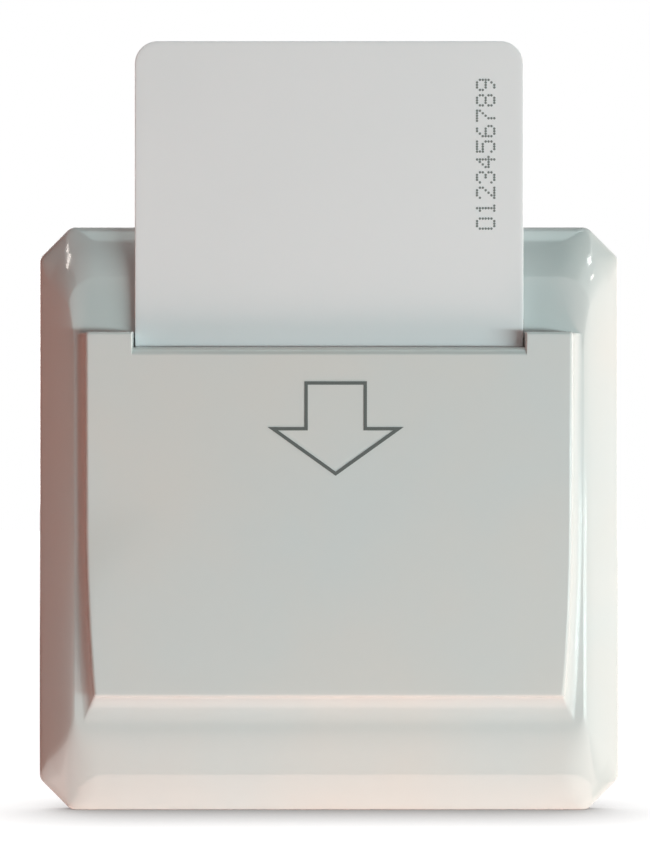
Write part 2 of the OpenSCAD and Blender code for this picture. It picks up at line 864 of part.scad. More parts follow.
module lever_hub() {
    translate([pivot_y, pivot_z])
        circle(hub_r);
    translate([bar_top - sink, bar_z])
        square([pivot_y - bar_top + sink, lever_t]);
}

module lever_bar() {
    tip_z = nose_z - nose_r;
    translate([nose_low, bar_z])
        square([bar_top - nose_low, lever_t]);
    polygon([
        [nose_low, bar_z], [nose_high, bar_z], [nose_high, bar_front],
        [nose_y + nose_r * cos(45), tip_z + nose_r * sin(45)],
        [nose_y - nose_r, tip_z], [nose_low, bar_front]
    ]);
    translate([nose_y, tip_z])
        circle(nose_r);
    translate([pad_y, pad_z + 2 * pad_h])
        circle(2 * pad_h);
}

module lever_pin() {
    color("lightsteelblue")
        on_wall()
            along_x(-ear_x - ear_t, ear_x + ear_t)
                translate([pivot_y, pivot_z])
                    circle(d = pin_d);
}

module lever_spring() {
    color("slategray")
        on_wall()
            skin([for (i = [0:len(spring_path) - 1]) wire_ring(spring_path, i, wire_d / 2)]);
}

module switch_case() {
    well = [plunger_w + 2 * fit, plunger_l + 2 * fit];
    color("black")
        on_wall()
            difference() {
                block([0, pad_y], [switch_w, switch_l], board_z, switch_z);
                block([0, pad_y], [well.y, well.x], switch_z - plunger_in - fit, switch_z + cut);
                for (p = switch_pin_at)
                    rod(p, lead_d / 2 + grip, board_z - cut, board_z + lead_end + grip);
            }
}

module switch_plunger() {
    color("firebrick")
        on_wall()
            block([0, pad_y], [plunger_l, plunger_w], switch_z - plunger_in, plunger_z);
}

module switch_pins() {
    color("gold")
        on_wall()
            for (p = switch_pin_at)
                rod(p, lead_d / 2, board_back - lead_end, board_z + lead_end);
}

module base_plate() {
    seat_w = housing_w + 2 * seat_gap;
    color("whitesmoke")
        on_wall()
            difference() {
                union() {
                    difference() {
                        linear_extrude(base_t)
                            polygon(base_outline);
                        block([0, 0], [seat_w, seat_w], -cut, seat_depth);
                    }
                    for (s = [-1, 1])
                        rod([s * board_screw_x, board_screw_y], boss_r, board_z, seat_depth + sink);
                }
                base_window();
                base_holes();
                hook_steps();
            }
}

module base_window() {
    half = ear_x + ear_t + fit;
    low = min(nose_low, pad_y - switch_l / 2) - 4 * fit;
    high = pivot_y + ear_up + 4 * fit;
    translate([-half, low, -cut])
        cube([2 * half, high - low, base_t + 2 * cut]);
}

module base_holes() {
    at_corners(post_at, post_at)
        rod([0, 0], housing_screw_r + fit, -cut, base_t + cut);
    sink_h = guide_head_r - guide_screw_r + fit;
    at_corners(boss_x, boss_y) {
        rod([0, 0], guide_screw_r + fit, -cut, base_t + cut);
        cylinder(h = sink_h, r1 = guide_head_r + 2 * fit, r2 = guide_screw_r + fit);
    }
    for (s = [-1, 1]) {
        translate([s * screw_spacing / 2, 0, 0])
            fixing_slot();
        rod([s * board_screw_x, board_screw_y], board_screw_r + grip, board_z - cut, seat_depth);
    }
}

module fixing_slot() {
    end = (slot_l - slot_w) / 2;
    for (s = [-1, 1])
        rod([s * end, 0], slot_w / 2, -cut, base_t + cut);
    block([0, 0], [2 * end, slot_w], -cut, base_t + cut);
}

// Steps in the back of the base plate's edge for the cover's hooks
module hook_steps() {
    inner = base_x - hook_reach - fit;
    for (sx = [-1, 1])
        for (sy = [-1, 1])
            block([sx * (inner + base_x + cut) / 2, sy * hook_y], [base_x + cut - inner, hook_l + 2 * fit],
                -cut, hook_h + 2 * fit);
}

// Wall box screws: a plain neck in the slot, and the thread behind the wall's surface
module fixing_screws() {
    neck_l = base_t + sink;
    color("silver")
        on_wall()
            for (s = [-1, 1])
                translate([s * screw_spacing / 2, 0, base_t]) {
                    pan_screw(fixing_head_r, fixing_head_h, fixing_neck_r, neck_l);
                    rod([0, 0], fixing_d / 2, -base_t - fixing_l, -neck_l);
                }
}

// The rear housing clears the heads of the guide's screws where it reaches them
module rear_housing() {
    color("gainsboro")
        on_wall()
            difference() {
                union() {
                    difference() {
                        housing_shape(0, 0);
                        housing_shape(housing_wall, cut);
                    }
                    housing_posts();
                }
                at_corners(post_at, post_at)
                    rod([0, 0], housing_screw_r + grip, seat_depth - post_bore_l, seat_depth + cut);
                at_corners(boss_x, boss_y)
                    rod([0, 0], guide_head_r + fit, 0, seat_depth + cut);
                for (s = [-1, 1])
                    block([s * terminal_x, terminal_y], [terminal_l + 2 * fit, terminal_d + 2 * fit],
                        step_z - cut, step_z + housing_wall + cut);
            }
}

// The stepped box, drawn in by its wall for the inside, which runs out of the open front by over
module housing_shape(wall, over) {
    half = housing_w / 2 - wall;
    low = step_y + wall;
    c = housing_cut;
    translate([0, 0, step_z + wall])
        linear_extrude(seat_depth + over - step_z - wall)
            polygon(cut_box(-half, -half, half, half, c));
    translate([0, 0, back_z + wall])
        linear_extrude(step_z - back_z + sink)
            polygon([
                [-half, low], [half, low], [half, half - c],
                [half - c, half], [c - half, half], [-half, half - c]
            ]);
}

module housing_posts() {
    for (sx = [-1, 1]) {
        rod([sx * post_at, post_at], post_r, back_z + sink, seat_depth);
        rod([sx * post_at, -post_at], post_r, step_z + sink, seat_depth);
    }
}

module housing_screws() {
    color("silver")
        on_wall()
            at_corners(post_at, post_at)
                translate([0, 0, base_t])
                    pan_screw(small_head_r, small_head_h, housing_screw_r, post_bore_l - cut);
}

module circuit_board() {
    color("darkgreen")
        on_wall()
            difference() {
                block([0, 0], [board_w, board_w], board_back, board_z);
                at_corners(board_w / 2, board_w / 2)
                    block([0, 0], [2 * board_notch, 2 * board_notch], board_back - cut, board_z + cut);
                for (s = [-1, 1])
                    translate([s * board_screw_x, board_screw_y, 0])
                        rod([0, 0], board_screw_r + fit, board_back - cut, board_z + cut);
                for (p = concat(switch_pin_at, relay_pin_at, film_lead_at, can_lead_at, diode_lead_at,
                        resistor_lead_at, transistor_lead_at, pole_at))
                    rod(p, lead_d / 2 + fit, board_back - cut, board_z + cut);
            }
}

module board_screws() {
    color("silver")
        on_wall()
            for (s = [-1, 1])
                translate([s * board_screw_x, board_screw_y, board_back])
                    mirror([0, 0, 1])
                        pan_screw(small_head_r, small_head_h, board_screw_r, board_t + board_screw_l);
}

module relay_case() {
    color("royalblue")
        on_wall()
            translate([0, relay_y, board_back - relay_h])
                linear_extrude(relay_h)
                    polygon(cut_box(-relay_l / 2, -relay_w / 2, relay_l / 2, relay_w / 2, part_gap));
}

module relay_pins() {
    color("silver")
        on_wall()
            for (p = relay_pin_at)
                rod(p, lead_d / 2, board_back, board_z + lead_end);
}

module film_capacitor() {
    color("gold")
        on_wall() {
            translate([film_at.x, film_at.y, board_back - film_h])
                linear_extrude(film_h)
                    polygon(cut_box(-film_l / 2, -film_w / 2, film_l / 2, film_w / 2, part_gap));
            for (p = film_lead_at)
                rod(p, lead_d / 2, board_back - sink, board_z + lead_end);
        }
}

module smoothing_capacitor() {
    groove_r = 0.3;
    groove_up = 1.8;
    color("midnightblue")
        on_wall() {
            difference() {
                rod(can_at, can_d / 2, board_back - can_h, board_back);
                translate([can_at.x, can_at.y, board_back - groove_up])
                    rotate_extrude()
                        translate([can_d / 2, 0])
                            circle(groove_r);
            }
            for (p = can_lead_at)
                rod(p, lead_d / 2, board_back - sink, board_z + lead_end);
        }
}

module rectifier_diodes() {
    color("dimgray")
        on_wall()
            for (p = diode_at)
                translate([p.x, p.y, 0])
                    axial_part(diode_d, diode_l, diode_span);
}

module dropper_resistor() {
    color("tan")
        on_wall()
            translate([resistor_at.x, resistor_at.y, 0])
                rotate([0, 0, 90])
                    axial_part(resistor_d, resistor_l, resistor_span);
}

module timer_chip() {
    color("black")
        on_wall()
            block(chip_at, [chip_w, chip_l], board_z + chip_lift, board_z + chip_lift + chip_h);
}

// Eight gull-wing leads, from the middle of the chip's sides down to the board
module timer_chip_pins() {
    mid = chip_lift + chip_h / 2;
    knee = chip_reach / 2;
    wing = [
        [0, mid], [0, mid - fit], [knee - fit, mid - fit], [knee, 0],
        [chip_reach, 0], [chip_reach, fit], [knee + fit, fit], [knee, mid]
    ];
    color("silver")
        on_wall()
            for (sx = [0, 1])
                for (i = [-1.5, -0.5, 0.5, 1.5])
                    translate([chip_at.x, chip_at.y + i * chip_pitch, board_z])
                        mirror([sx, 0, 0])
                            translate([chip_w / 2, chip_lead_w / 2, 0])
                                rotate([90, 0, 0])
                                    linear_extrude(chip_lead_w)
                                        polygon(wing);
}

module relay_transistor() {
    lift = board_z + part_gap;
    flat_at = transistor_at + [0, transistor_flat + transistor_d / 2];
    color("black")
        on_wall() {
            difference() {
                rod(transistor_at, transistor_d / 2, lift, lift + transistor_h);
                block(flat_at, [2 * transistor_d, transistor_d], lift - cut, lift + transistor_h + cut);
            }
            for (p = transistor_lead_at)
                rod(p, lead_d / 2, board_back - lead_end, lift + sink);
        }
}

module supply_terminals() {
    color("darkslategray")
        on_wall()
            terminal_block(-terminal_x);
}

module load_terminals() {
    color("darkslategray")
        on_wall()
            terminal_block(terminal_x);
}

module terminal_block(x) {
    inner = terminal_back + terminal_face;
    difference() {
        block([x, terminal_y], [terminal_l, terminal_d], terminal_back, board_back);
        for (s = [-1, 1])
            translate([x + s * pole_pitch / 2, terminal_y, 0]) {
                block([0, 0], [cage_w + 2 * grip, cage_d + 2 * grip], inner, board_back + cut);
                block([0, -entry_drop], [entry_w, entry_h], terminal_back - cut, inner + cut);
                rod([0, screw_rise], terminal_head_d / 2 + fit, terminal_back - cut, inner + cut);
            }
    }
}

module terminal_cages() {
    cage_back = cage_z + cage_h;
    color("goldenrod")
        on_wall()
            for (p = pole_at)
                translate([p.x, p.y, 0])
                    difference() {
                        block([0, 0], [cage_w, cage_d], cage_z, cage_back);
                        block([0, -entry_drop], [entry_w, entry_h], cage_z - cut, cage_back - cage_end);
                        rod([0, screw_rise], terminal_screw_d / 2 + grip, cage_z - cut, cage_back - cage_end);
                        rod([0, 0], lead_d / 2 + grip, cage_back - pin_seat, cage_back + cut);
                    }
}

module terminal_screws() {
    head_h = terminal_face - terminal_recess;
    color("silver")
        on_wall()
            for (p = pole_at)
                translate([p.x, p.y + screw_rise, cage_z])
                    mirror([0, 0, 1])
                        pan_screw(terminal_head_d / 2, head_h, terminal_screw_d / 2, terminal_screw_l);
}

module terminal_pins() {
    color("silver")
        on_wall()
            for (p = pole_at)
                rod(p, lead_d / 2, cage_z + cage_h - pin_seat + grip, board_z + lead_end);
}

front_cover();
arrow_print();
key_card();
card_guide();
guide_screws();
lever();
lever_pin();
lever_spring();
switch_case();
switch_plunger();
switch_pins();
base_plate();
fixing_screws();
rear_housing();
housing_screws();
circuit_board();
board_screws();
relay_case();
relay_pins();
film_capacitor();
smoothing_capacitor();
rectifier_diodes();
dropper_resistor();
timer_chip();
timer_chip_pins();
relay_transistor();
supply_terminals();
load_terminals();
terminal_cages();
terminal_screws();
terminal_pins();
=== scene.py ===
# %% [markdown]
# # A hotel key card switch
# A card switch turns a room's lights on while a key card stands in its slot. What a guest sees is one
# glossy white moulding, a pillow-shaped frame with a raised panel, an arrow printed on it, and the grey
# card itself. Behind the plate sit the works: a pocket for the card, a sensing lever, a microswitch and a
# small power board in a box. This lesson keeps the measured construction and gives it its looks, piece by
# piece, in one frame.

# %% Load the measured pieces
import math

import bmesh
import bpy
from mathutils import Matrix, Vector


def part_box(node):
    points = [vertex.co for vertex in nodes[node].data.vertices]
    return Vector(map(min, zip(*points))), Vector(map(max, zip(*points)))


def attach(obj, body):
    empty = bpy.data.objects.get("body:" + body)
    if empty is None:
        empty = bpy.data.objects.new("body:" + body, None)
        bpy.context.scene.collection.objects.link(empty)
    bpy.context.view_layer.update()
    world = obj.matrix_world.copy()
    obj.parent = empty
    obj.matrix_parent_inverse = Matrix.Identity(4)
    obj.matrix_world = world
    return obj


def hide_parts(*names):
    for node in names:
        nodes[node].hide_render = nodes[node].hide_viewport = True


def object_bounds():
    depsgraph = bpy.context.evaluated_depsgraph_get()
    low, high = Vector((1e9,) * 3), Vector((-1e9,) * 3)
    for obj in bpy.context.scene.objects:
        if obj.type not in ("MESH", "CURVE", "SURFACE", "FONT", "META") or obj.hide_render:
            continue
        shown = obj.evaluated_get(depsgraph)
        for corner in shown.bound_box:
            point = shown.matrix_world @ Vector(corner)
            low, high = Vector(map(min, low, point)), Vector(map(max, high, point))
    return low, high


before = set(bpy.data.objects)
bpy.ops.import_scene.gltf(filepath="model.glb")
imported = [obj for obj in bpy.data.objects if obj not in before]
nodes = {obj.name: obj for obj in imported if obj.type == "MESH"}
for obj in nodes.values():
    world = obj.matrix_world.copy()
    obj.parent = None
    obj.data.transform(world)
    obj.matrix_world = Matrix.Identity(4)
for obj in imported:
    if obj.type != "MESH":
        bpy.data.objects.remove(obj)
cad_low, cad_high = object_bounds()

MM = 0.001


def size_mm(low, high):
    return [round((b - a) / MM, 2) for a, b in zip(low, high)]


print("nodes", len(nodes), "box", size_mm(cad_low, cad_high), "mm")

# %% [markdown]
# ## Two small helpers
# Colours are easiest to judge as the screen shows them, so every colour below is a hex value, and one
# function turns it into the linear light that a shader works in. Another adds one shader node with its
# settings and links.

# %% Colour and node helpers
def linear(code):
    parts = [int(code[i:i + 2], 16) / 255 for i in (1, 3, 5)]
    return [p / 12.92 if p <= 0.04045 else ((p + 0.055) / 1.055) ** 2.4 for p in parts] + [1.0]


def add(tree, kind, inputs=None, **settings):
    made = tree.nodes.new("ShaderNode" + kind)
    for name, value in settings.items():
        setattr(made, name, value)
    for name, value in (inputs or {}).items():
        if isinstance(value, bpy.types.NodeSocket):
            tree.links.new(value, made.inputs[name])
        else:
            made.inputs[name].default_value = value
    return made


print("mid grey", [round(v, 3) for v in linear("#808080")])

# %% [markdown]
# ## The camera
# The switch is seen square on from about 330 mm, near enough for the raised panel and the card to look
# larger than the frame behind them. A long lens fills the picture from there. The eye stands a little above
# the plate's middle and looks straight ahead, so upright lines stay upright and the picture holds the whole
# card.

# %% Place the camera
scene = bpy.context.scene
scene.view_settings.view_transform = "Standard"
eye = Vector((-0.57, -331.5, 12.6)) * MM
sensor_mm, lens_mm = 36, 97.5
lens = bpy.data.cameras.new("camera")
lens.sensor_width = sensor_mm
lens.lens = lens_mm
camera = bpy.data.objects.new("camera", lens)
camera.location = eye
camera.rotation_euler = (math.radians(90), 0, 0)
scene.collection.objects.link(camera)
scene.camera = camera
print("eye at", [round(v / MM, 1) for v in eye], "mm")

# %% [markdown]
# ## Floor and background
# The plate stands on a white floor in a white room, as in a plain catalogue picture. What the eye and the
# mirror-like surfaces see of the room is white. What lights the object from it is a dim grey, so that the
# lamps below shape the form.

# %% Room
def seen_rays(tree):
    path = add(tree, "LightPath")
    seen = path.outputs["Is Camera Ray"]
    for name in ("Is Glossy Ray", "Is Transmission Ray"):
        either = add(tree, "Math", {0: seen, 1: path.outputs[name]}, operation="ADD", use_clamp=True)
        seen = either.outputs[0]
    return seen


world = bpy.data.worlds.new("white_room")
scene.world = world
world.use_nodes = True
tree = world.node_tree
tree.nodes.clear()
dim = add(tree, "Background", {"Color": linear("#161616"), "Strength": 1.0})
white = add(tree, "Background", {"Color": linear("#FFFFFF"), "Strength": 1.0})
room = add(tree, "MixShader", {0: seen_rays(tree), 1: dim.outputs[0], 2: white.outputs[0]})
add(tree, "OutputWorld", {"Surface": room.outputs[0]})
print("room nodes", len(tree.nodes))

# %% [markdown]
# The floor works like a photographer's light table. It glows by itself, and an occlusion test dims that glow
# close to the plate, a painted soft shadow there. It throws no shadow, so lamps that hang below it shine up
# through it.

# %% Floor
floor_paint = bpy.data.materials.new("floor_paint")
floor_paint.use_nodes = True
tree = floor_paint.node_tree
tree.nodes.clear()
shade_reach, shade_samples = 14, 16
matt = add(tree, "BsdfDiffuse", {"Color": linear("#EEECE8")})
pale = add(tree, "BsdfDiffuse", {"Color": linear("#7E7E7E")})
# Occlusion dims the floor's glow near the plate: a painted shadow, not one cast by a lamp
near = add(tree, "AmbientOcclusion", {"Color": linear("#FFFFFF"), "Distance": shade_reach * MM},
           samples=shade_samples)
glow = add(tree, "Emission", {"Color": near.outputs["Color"], "Strength": 1.0})
both = add(tree, "AddShader", {0: pale.outputs[0], 1: glow.outputs[0]})
floor_mix = add(tree, "MixShader", {0: seen_rays(tree), 1: matt.outputs[0], 2: both.outputs[0]})
add(tree, "OutputMaterial", {"Surface": floor_mix.outputs[0]})


def sheet(name, corners, material):
    mesh = bpy.data.meshes.new(name)
    mesh.from_pydata(corners, [], [(0, 1, 2, 3)])
    mesh.materials.append(material)
    made = bpy.data.objects.new(name, mesh)
    scene.collection.objects.link(made)
    return made


floor_z, floor_half = cad_low[2], 0.9
floor_signs = ((-1, -1), (1, -1), (1, 1), (-1, 1))
floor = sheet("floor", [(sx * floor_half, sy * floor_half, floor_z) for sx, sy in floor_signs], floor_paint)
floor.visible_shadow = False
print("floor at", round(floor_z / MM, 2), "mm")

# %% [markdown]
# ## Lamps
# A lamp's size sets how soft its light is, and its place decides which bevels it fills. The key is a wide,
# cool lamp at the right, so low that it shines through the floor, and the left bevel falls into a warm half
# shade. Two more lamps under the floor light the bottom bevel and the panel's lower edge. Four small ones,
# high in front, draw sparks on the corners, and two behind the plate light the housing. Some lamps would
# show in the gloss as hard patches; these light the form and are left out of the mirror.

# %% Lamps
def softbox(name, place, size, power, colour, aim=(0, 0, 0), mirrored=True):
    lamp = bpy.data.lights.new(name, "AREA")
    lamp.shape = "RECTANGLE"
    lamp.size, lamp.size_y = size
    lamp.energy = power
    lamp.color = linear(colour)[:3]
    holder = bpy.data.objects.new(name, lamp)
    holder.location = place
    holder.rotation_euler = (Vector(aim) - Vector(place)).to_track_quat("-Z", "Y").to_euler()
    holder.visible_camera = False
    holder.visible_glossy = mirrored
    scene.collection.objects.link(holder)


# Name, place and size in metres, power in watts, colour, and the aim where it isn't the plate's middle
softbox("key_low", (0.75, -0.8, -0.11), (0.9, 0.14), 8.1, "#E8FFFF")
softbox("side_right", (0.6, 0.02, 0.0), (0.3, 0.4), 2.6, "#FFE2D6", mirrored=False)
softbox("table_light", (0.0, -0.02, -0.5), (0.4, 0.06), 0.5, "#FFAE94", (0.0, -0.02, 1.0))
softbox("table_front", (0.1, -0.2, -0.45), (0.4, 0.2), 1.9, "#FFDAD2", (0.0, 0.0, -0.03))
softbox("warm_left", (-0.45, -0.05, 0.1), (0.3, 0.3), 0.36, "#FF6030", mirrored=False)
softbox("soft_top", (-0.33, -0.2, 0.3), (0.3, 0.3), 0.08, "#FFD8C0", mirrored=False)
softbox("overhead", (0.05, -0.08, 0.5), (0.3, 0.1), 0.2, "#E6FFFC", (0.05, -0.08, 0.0))
softbox("spark_left", (-0.4, -0.185, 0.4), (0.03, 0.1), 0.12, "#FFF6EE")
softbox("spark_right", (0.4, -0.185, 0.4), (0.03, 0.05), 0.1, "#FFFFFF")
softbox("spark_side", (0.46, -0.2, 0.3), (0.025, 0.025), 0.04, "#FFF4EE")
softbox("spark_low", (0.3, -0.5, 0.3), (0.02, 0.02), 0.035, "#FFFFFF")
softbox("back_soft", (-0.3, 0.85, 0.12), (0.8, 0.3), 3.2, "#FFFFFF")
softbox("back_side", (0.6, 0.5, 0.1), (0.4, 0.3), 0.8, "#FFFFFF")
print("lamps", len(bpy.data.lights))

# %% [markdown]
# A glossy form reads by the dark things that it mirrors as much as by the bright ones. Three dark boards,
# which photographers call flags, are there for the mirror in the plastic alone: one at the left, one
# overhead and one flat on the floor at the left. The camera doesn't see them, they light nothing and they
# throw no shadow.

# %% Flags
def flag(name, corners, colour):
    paint = bpy.data.materials.new(name)
    paint.use_nodes = True
    paint.node_tree.nodes["Principled BSDF"].inputs["Base Color"].default_value = linear(colour)
    paint.node_tree.nodes["Principled BSDF"].inputs["Roughness"].default_value = 0.9
    board = sheet(name, corners, paint)
    board.visible_camera = board.visible_diffuse = board.visible_shadow = False


left_x, left_front, left_back, left_top = -0.46, -0.5, 0.25, 0.45
roof_left, roof_right, roof_front, roof_back, roof_z = -0.05, 0.4, -0.62, -0.12, 0.46
mat_right, mat_z = -0.06, floor_z + 0.001
flag("flag_left", [(left_x, left_front, floor_z), (left_x, left_back, floor_z),
                   (left_x, left_back, left_top), (left_x, left_front, left_top)], "#4A382E")
flag("flag_top", [(roof_left, roof_front, roof_z), (roof_right, roof_front, roof_z),
                  (roof_right, roof_back, roof_z), (roof_left, roof_back, roof_z)], "#4A4E4B")
flag("flag_floor", [(left_x, left_front, mat_z), (mat_right, left_front, mat_z),
                    (mat_right, left_back, mat_z), (left_x, left_back, mat_z)], "#4A382E")

# %% [markdown]
# ## Moulded plastics
# Nearly every visible part is injection moulded. Such a surface is never perfectly even: the melt leaves
# slow drifts of tone and gloss, and the tool's polish or spark texture leaves a fine grain that breaks up
# reflections. One function makes them all: two near colours drift into each other over a patch size, and a
# grain of a given size and height is laid on as relief. A real mould grain is finer than a tenth of a
# millimetre; it is drawn coarser here so that it still shows at picture size.

# %% Moulded plastic
# Most values of a noise texture lie in this range
NOISE_RANGE = {"From Min": 0.3, "From Max": 0.7}
# Least and greatest share of the roughness over a surface, and how strongly the grain shows
PLASTIC_GLOSS, GRAIN_STRENGTH = (0.85, 1.15), 0.5
materials_before = len(bpy.data.materials)


def tone_and_gloss(tree, cloud, colours, rough, spread):
    body = tree.nodes["Principled BSDF"]
    first, second = [linear(code) for code in colours]
    tone = add(tree, "Mix", {"Factor": cloud, "A": first, "B": second}, data_type="RGBA")
    tree.links.new(tone.outputs["Result"], body.inputs["Base Color"])
    least, greatest = [rough * share for share in spread]
    gloss = add(tree, "MapRange", {"Value": cloud, "To Min": least, "To Max": greatest, **NOISE_RANGE})
    tree.links.new(gloss.outputs["Result"], body.inputs["Roughness"])


# Patch, grain and height are in millimetres
def moulded(name, colours, patch, grain, height, rough, ior):
    material = bpy.data.materials.new(name)
    material.use_nodes = True
    tree = material.node_tree
    body = tree.nodes["Principled BSDF"]
    place = add(tree, "TexCoord").outputs["Object"]
    drift = add(tree, "TexNoise", {"Vector": place, "Scale": 1 / (patch * MM), "Detail": 3.0})
    tone_and_gloss(tree, drift.outputs["Fac"], colours, rough, PLASTIC_GLOSS)
    fine = add(tree, "TexNoise", {"Vector": place, "Scale": 1 / (grain * MM), "Detail": 2.0}).outputs["Fac"]
    relief = add(tree, "Bump", {"Height": fine, "Strength": GRAIN_STRENGTH, "Distance": height * MM})
    tree.links.new(relief.outputs["Normal"], body.inputs["Normal"])
    body.inputs["IOR"].default_value = ior
    return material


# Glossy white ABS: even off-white, soft mirror reflections that run along the bevels
cover_abs = moulded("cover_abs_glossy", ("#DDD7D0", "#C8D8DC"), 34, 0.5, 0.002, 0.09, 1.54)
# Laminated PVC: flat light grey with a satin sheen
card_pvc = moulded("card_pvc_laminate", ("#EEEFF1", "#E9EBED"), 22, 0.35, 0.006, 0.42, 1.53)
# Printing ink: nearly matt, dark grey, with tiny thin spots
print_ink = moulded("print_ink_grey", ("#4E5452", "#5C6260"), 1.2, 0.12, 0.004, 0.55, 1.5)
# Needle-printed ribbon ink: thinner and paler, with the sheet showing through
ribbon_ink = moulded("ribbon_ink_grey", ("#6C7270", "#7C8280"), 0.6, 0.12, 0.004, 0.6, 1.5)
# Spark-textured ABS of the base plate: white and matt, for a face turned to the wall
base_abs = moulded("base_abs_textured", ("#DAD9D3", "#D1D1CC"), 20, 0.4, 0.02, 0.52, 1.54)
# Polycarbonate box: off-white, a little cooler, with a fine spark texture
housing_pc = moulded("housing_polycarbonate", ("#D2D4D2", "#C8CBCA"), 18, 0.45, 0.02, 0.46, 1.585)
print("outer plastics and inks", len(bpy.data.materials) - materials_before)

# %% [markdown]
# The works are made of engineering plastics, each taken for its job. Acetal slides well, PBT and polyamide
# stand heat and current, and epoxy seals chips and diodes. Their usual colours also tell the parts apart.

# %% Plastics of the works
materials_before = len(bpy.data.materials)
# Fine-textured ABS of the inner guide: white, matt
guide_abs = moulded("guide_abs_matt", ("#D8D8D4", "#CFD0CC"), 16, 0.3, 0.012, 0.48, 1.54)
# Natural acetal: ivory white with a waxy sheen
lever_acetal = moulded("lever_acetal_natural", ("#E7E3D6", "#DED9CA"), 6, 0.25, 0.005, 0.32, 1.48)
# Black glass-filled PBT: dark, with the grey cast of its fibres
switch_pbt = moulded("switch_pbt_black", ("#232324", "#2E2E30"), 3, 0.2, 0.01, 0.42, 1.57)
# Red PBT of the plunger: a small saturated signal
plunger_pbt = moulded("plunger_pbt_red", ("#B0281F", "#9A2119"), 2, 0.2, 0.006, 0.36, 1.57)
# Blue relay case: glossy and even
relay_pbt = moulded("relay_pbt_blue", ("#1F4E9E", "#1A448C"), 5, 0.3, 0.004, 0.26, 1.57)
# Yellow capacitor box: warm and glossy
capacitor_box = moulded("capacitor_box_yellow", ("#D9A82E", "#CC9A24"), 4, 0.3, 0.006, 0.3, 1.55)
# Shrink sleeve: dark blue film with slight waves from shrinking
capacitor_sleeve = moulded("capacitor_sleeve_blue", ("#1B2440", "#232E50"), 3, 1.2, 0.03, 0.24, 1.54)
# Black moulding epoxy: matt, with a fine sparkle of filler
black_epoxy = moulded("black_epoxy", ("#1E1E1F", "#29292A"), 1.5, 0.15, 0.012, 0.56, 1.55)
# Cement coating: dull beige with small specks
resistor_coating = moulded("resistor_cement", ("#C2A981", "#AE9468"), 0.7, 0.15, 0.02, 0.62, 1.5)
# Polyamide terminals: dark green, satin
terminal_pa = moulded("terminal_polyamide", ("#1F5B41", "#194C36"), 5, 0.3, 0.01, 0.4, 1.53)
print("inner plastics", len(bpy.data.materials) - materials_before)

# %% [markdown]
# ## Metals and the board
# Screws are zinc plated, pins are tinned, the clamps are plain brass. Each is a metal with a soft scatter
# of tone and gloss from plating or drawing, which is finer in reality and drawn coarser here to show. The
# board carries a green solder mask, with copper tracks that show through as paler bands.

# %% Metals
materials_before = len(bpy.data.materials)
METAL_GLOSS, SCATTER_STRENGTH, scatter_height = (0.8, 1.25), 0.25, 0.01


def metal(name, colours, patch, rough, stretch=(1, 1, 1)):
    material = bpy.data.materials.new(name)
    material.use_nodes = True
    tree = material.node_tree
    body = tree.nodes["Principled BSDF"]
    body.inputs["Metallic"].default_value = 1.0
    place = add(tree, "TexCoord").outputs["Object"]
    drawn = add(tree, "Mapping", {"Vector": place, "Scale": stretch}).outputs["Vector"]
    cloud = add(tree, "TexNoise", {"Vector": drawn, "Scale": 1 / (patch * MM), "Detail": 4.0}).outputs["Fac"]
    tone_and_gloss(tree, cloud, colours, rough, METAL_GLOSS)
    relief = add(tree, "Bump", {"Height": cloud, "Strength": SCATTER_STRENGTH,
                                "Distance": scatter_height * MM})
    tree.links.new(relief.outputs["Normal"], body.inputs["Normal"])
    return material


# Zinc plating: bright, slightly bluish, cloudy
zinc_steel = metal("zinc_plated_steel", ("#C9CCCC", "#B9BCBE"), 0.8, 0.3)
# Ground pin: fine lines along its length
pin_steel = metal("ground_steel", ("#B8B8B8", "#A5A6A8"), 0.2, 0.26, (0.1, 1, 1))
# Spring wire: darker, drawn
spring_steel = metal("spring_wire", ("#8E8F92", "#7A7B80"), 0.3, 0.34)
# Tinned copper: pale and soft
tinned_copper = metal("tinned_copper", ("#D2D1CB", "#C3C1BA"), 0.5, 0.36)
# Plain brass: yellow, lightly dulled
clamp_brass = metal("plain_brass", ("#C9A659", "#B8934A"), 0.7, 0.32)
print("metals", len(bpy.data.materials) - materials_before)

# %% Board laminate
# Glass-epoxy laminate under a solder mask: deep green and glossy, with paler bands over the copper
track_length, track_pitch, track_width = 6.5, 2.5, 0.35
board_laminate = moulded("board_laminate_green", ("#1E6B3A", "#185A30"), 9, 0.3, 0.006, 0.3, 1.55)
tree = board_laminate.node_tree
body = tree.nodes["Principled BSDF"]
place = add(tree, "TexCoord").outputs["Object"]
upright = add(tree, "Mapping", {"Vector": place, "Rotation": (math.radians(90), 0, 0)})
tracks = add(tree, "TexBrick", {"Vector": upright.outputs["Vector"], "Scale": 1.0,
                                "Brick Width": track_length * MM, "Row Height": track_pitch * MM,
                                "Mortar Size": track_width * MM, "Mortar Smooth": 0.2})
mask = body.inputs["Base Color"].links[0].from_socket
copper = add(tree, "Mix", {"Factor": tracks.outputs["Fac"], "A": mask, "B": linear("#3E8F52")},
             data_type="RGBA")
tree.links.new(copper.outputs["Result"], body.inputs["Base Color"])
print("board nodes", len(tree.nodes))

# %% [markdown]
# ## Building by rings
# The front cover is one smooth skin. A clear way to make such a form is to lay closed rings one above the
# other and join them with quads: first the rim at the wall, then the swelling bevel, the valley, the hollow
# wall of the panel and at last its rounded edge. Every ring has the same number of points, so the lines
# flow from one form into the next and light runs over them without a break. A subdivided cube could give a
# similar pillow, but its bevels would be hard to hold to measured sizes, which rings take as they are. The
# numbers are those of the measured construction, in millimetres, with x to the right, y up the wall and z
# out of it.

# %% Rings
ARC, SIDE = 10, 28
CORNER_POINTS = 2 * (ARC + 1)
QUARTER, EIGHTH = 90, 45


def stand(x, y, z):
    return (x * MM, -z * MM, y * MM)


def mix(a, b, t):
    return a + (b - a) * t


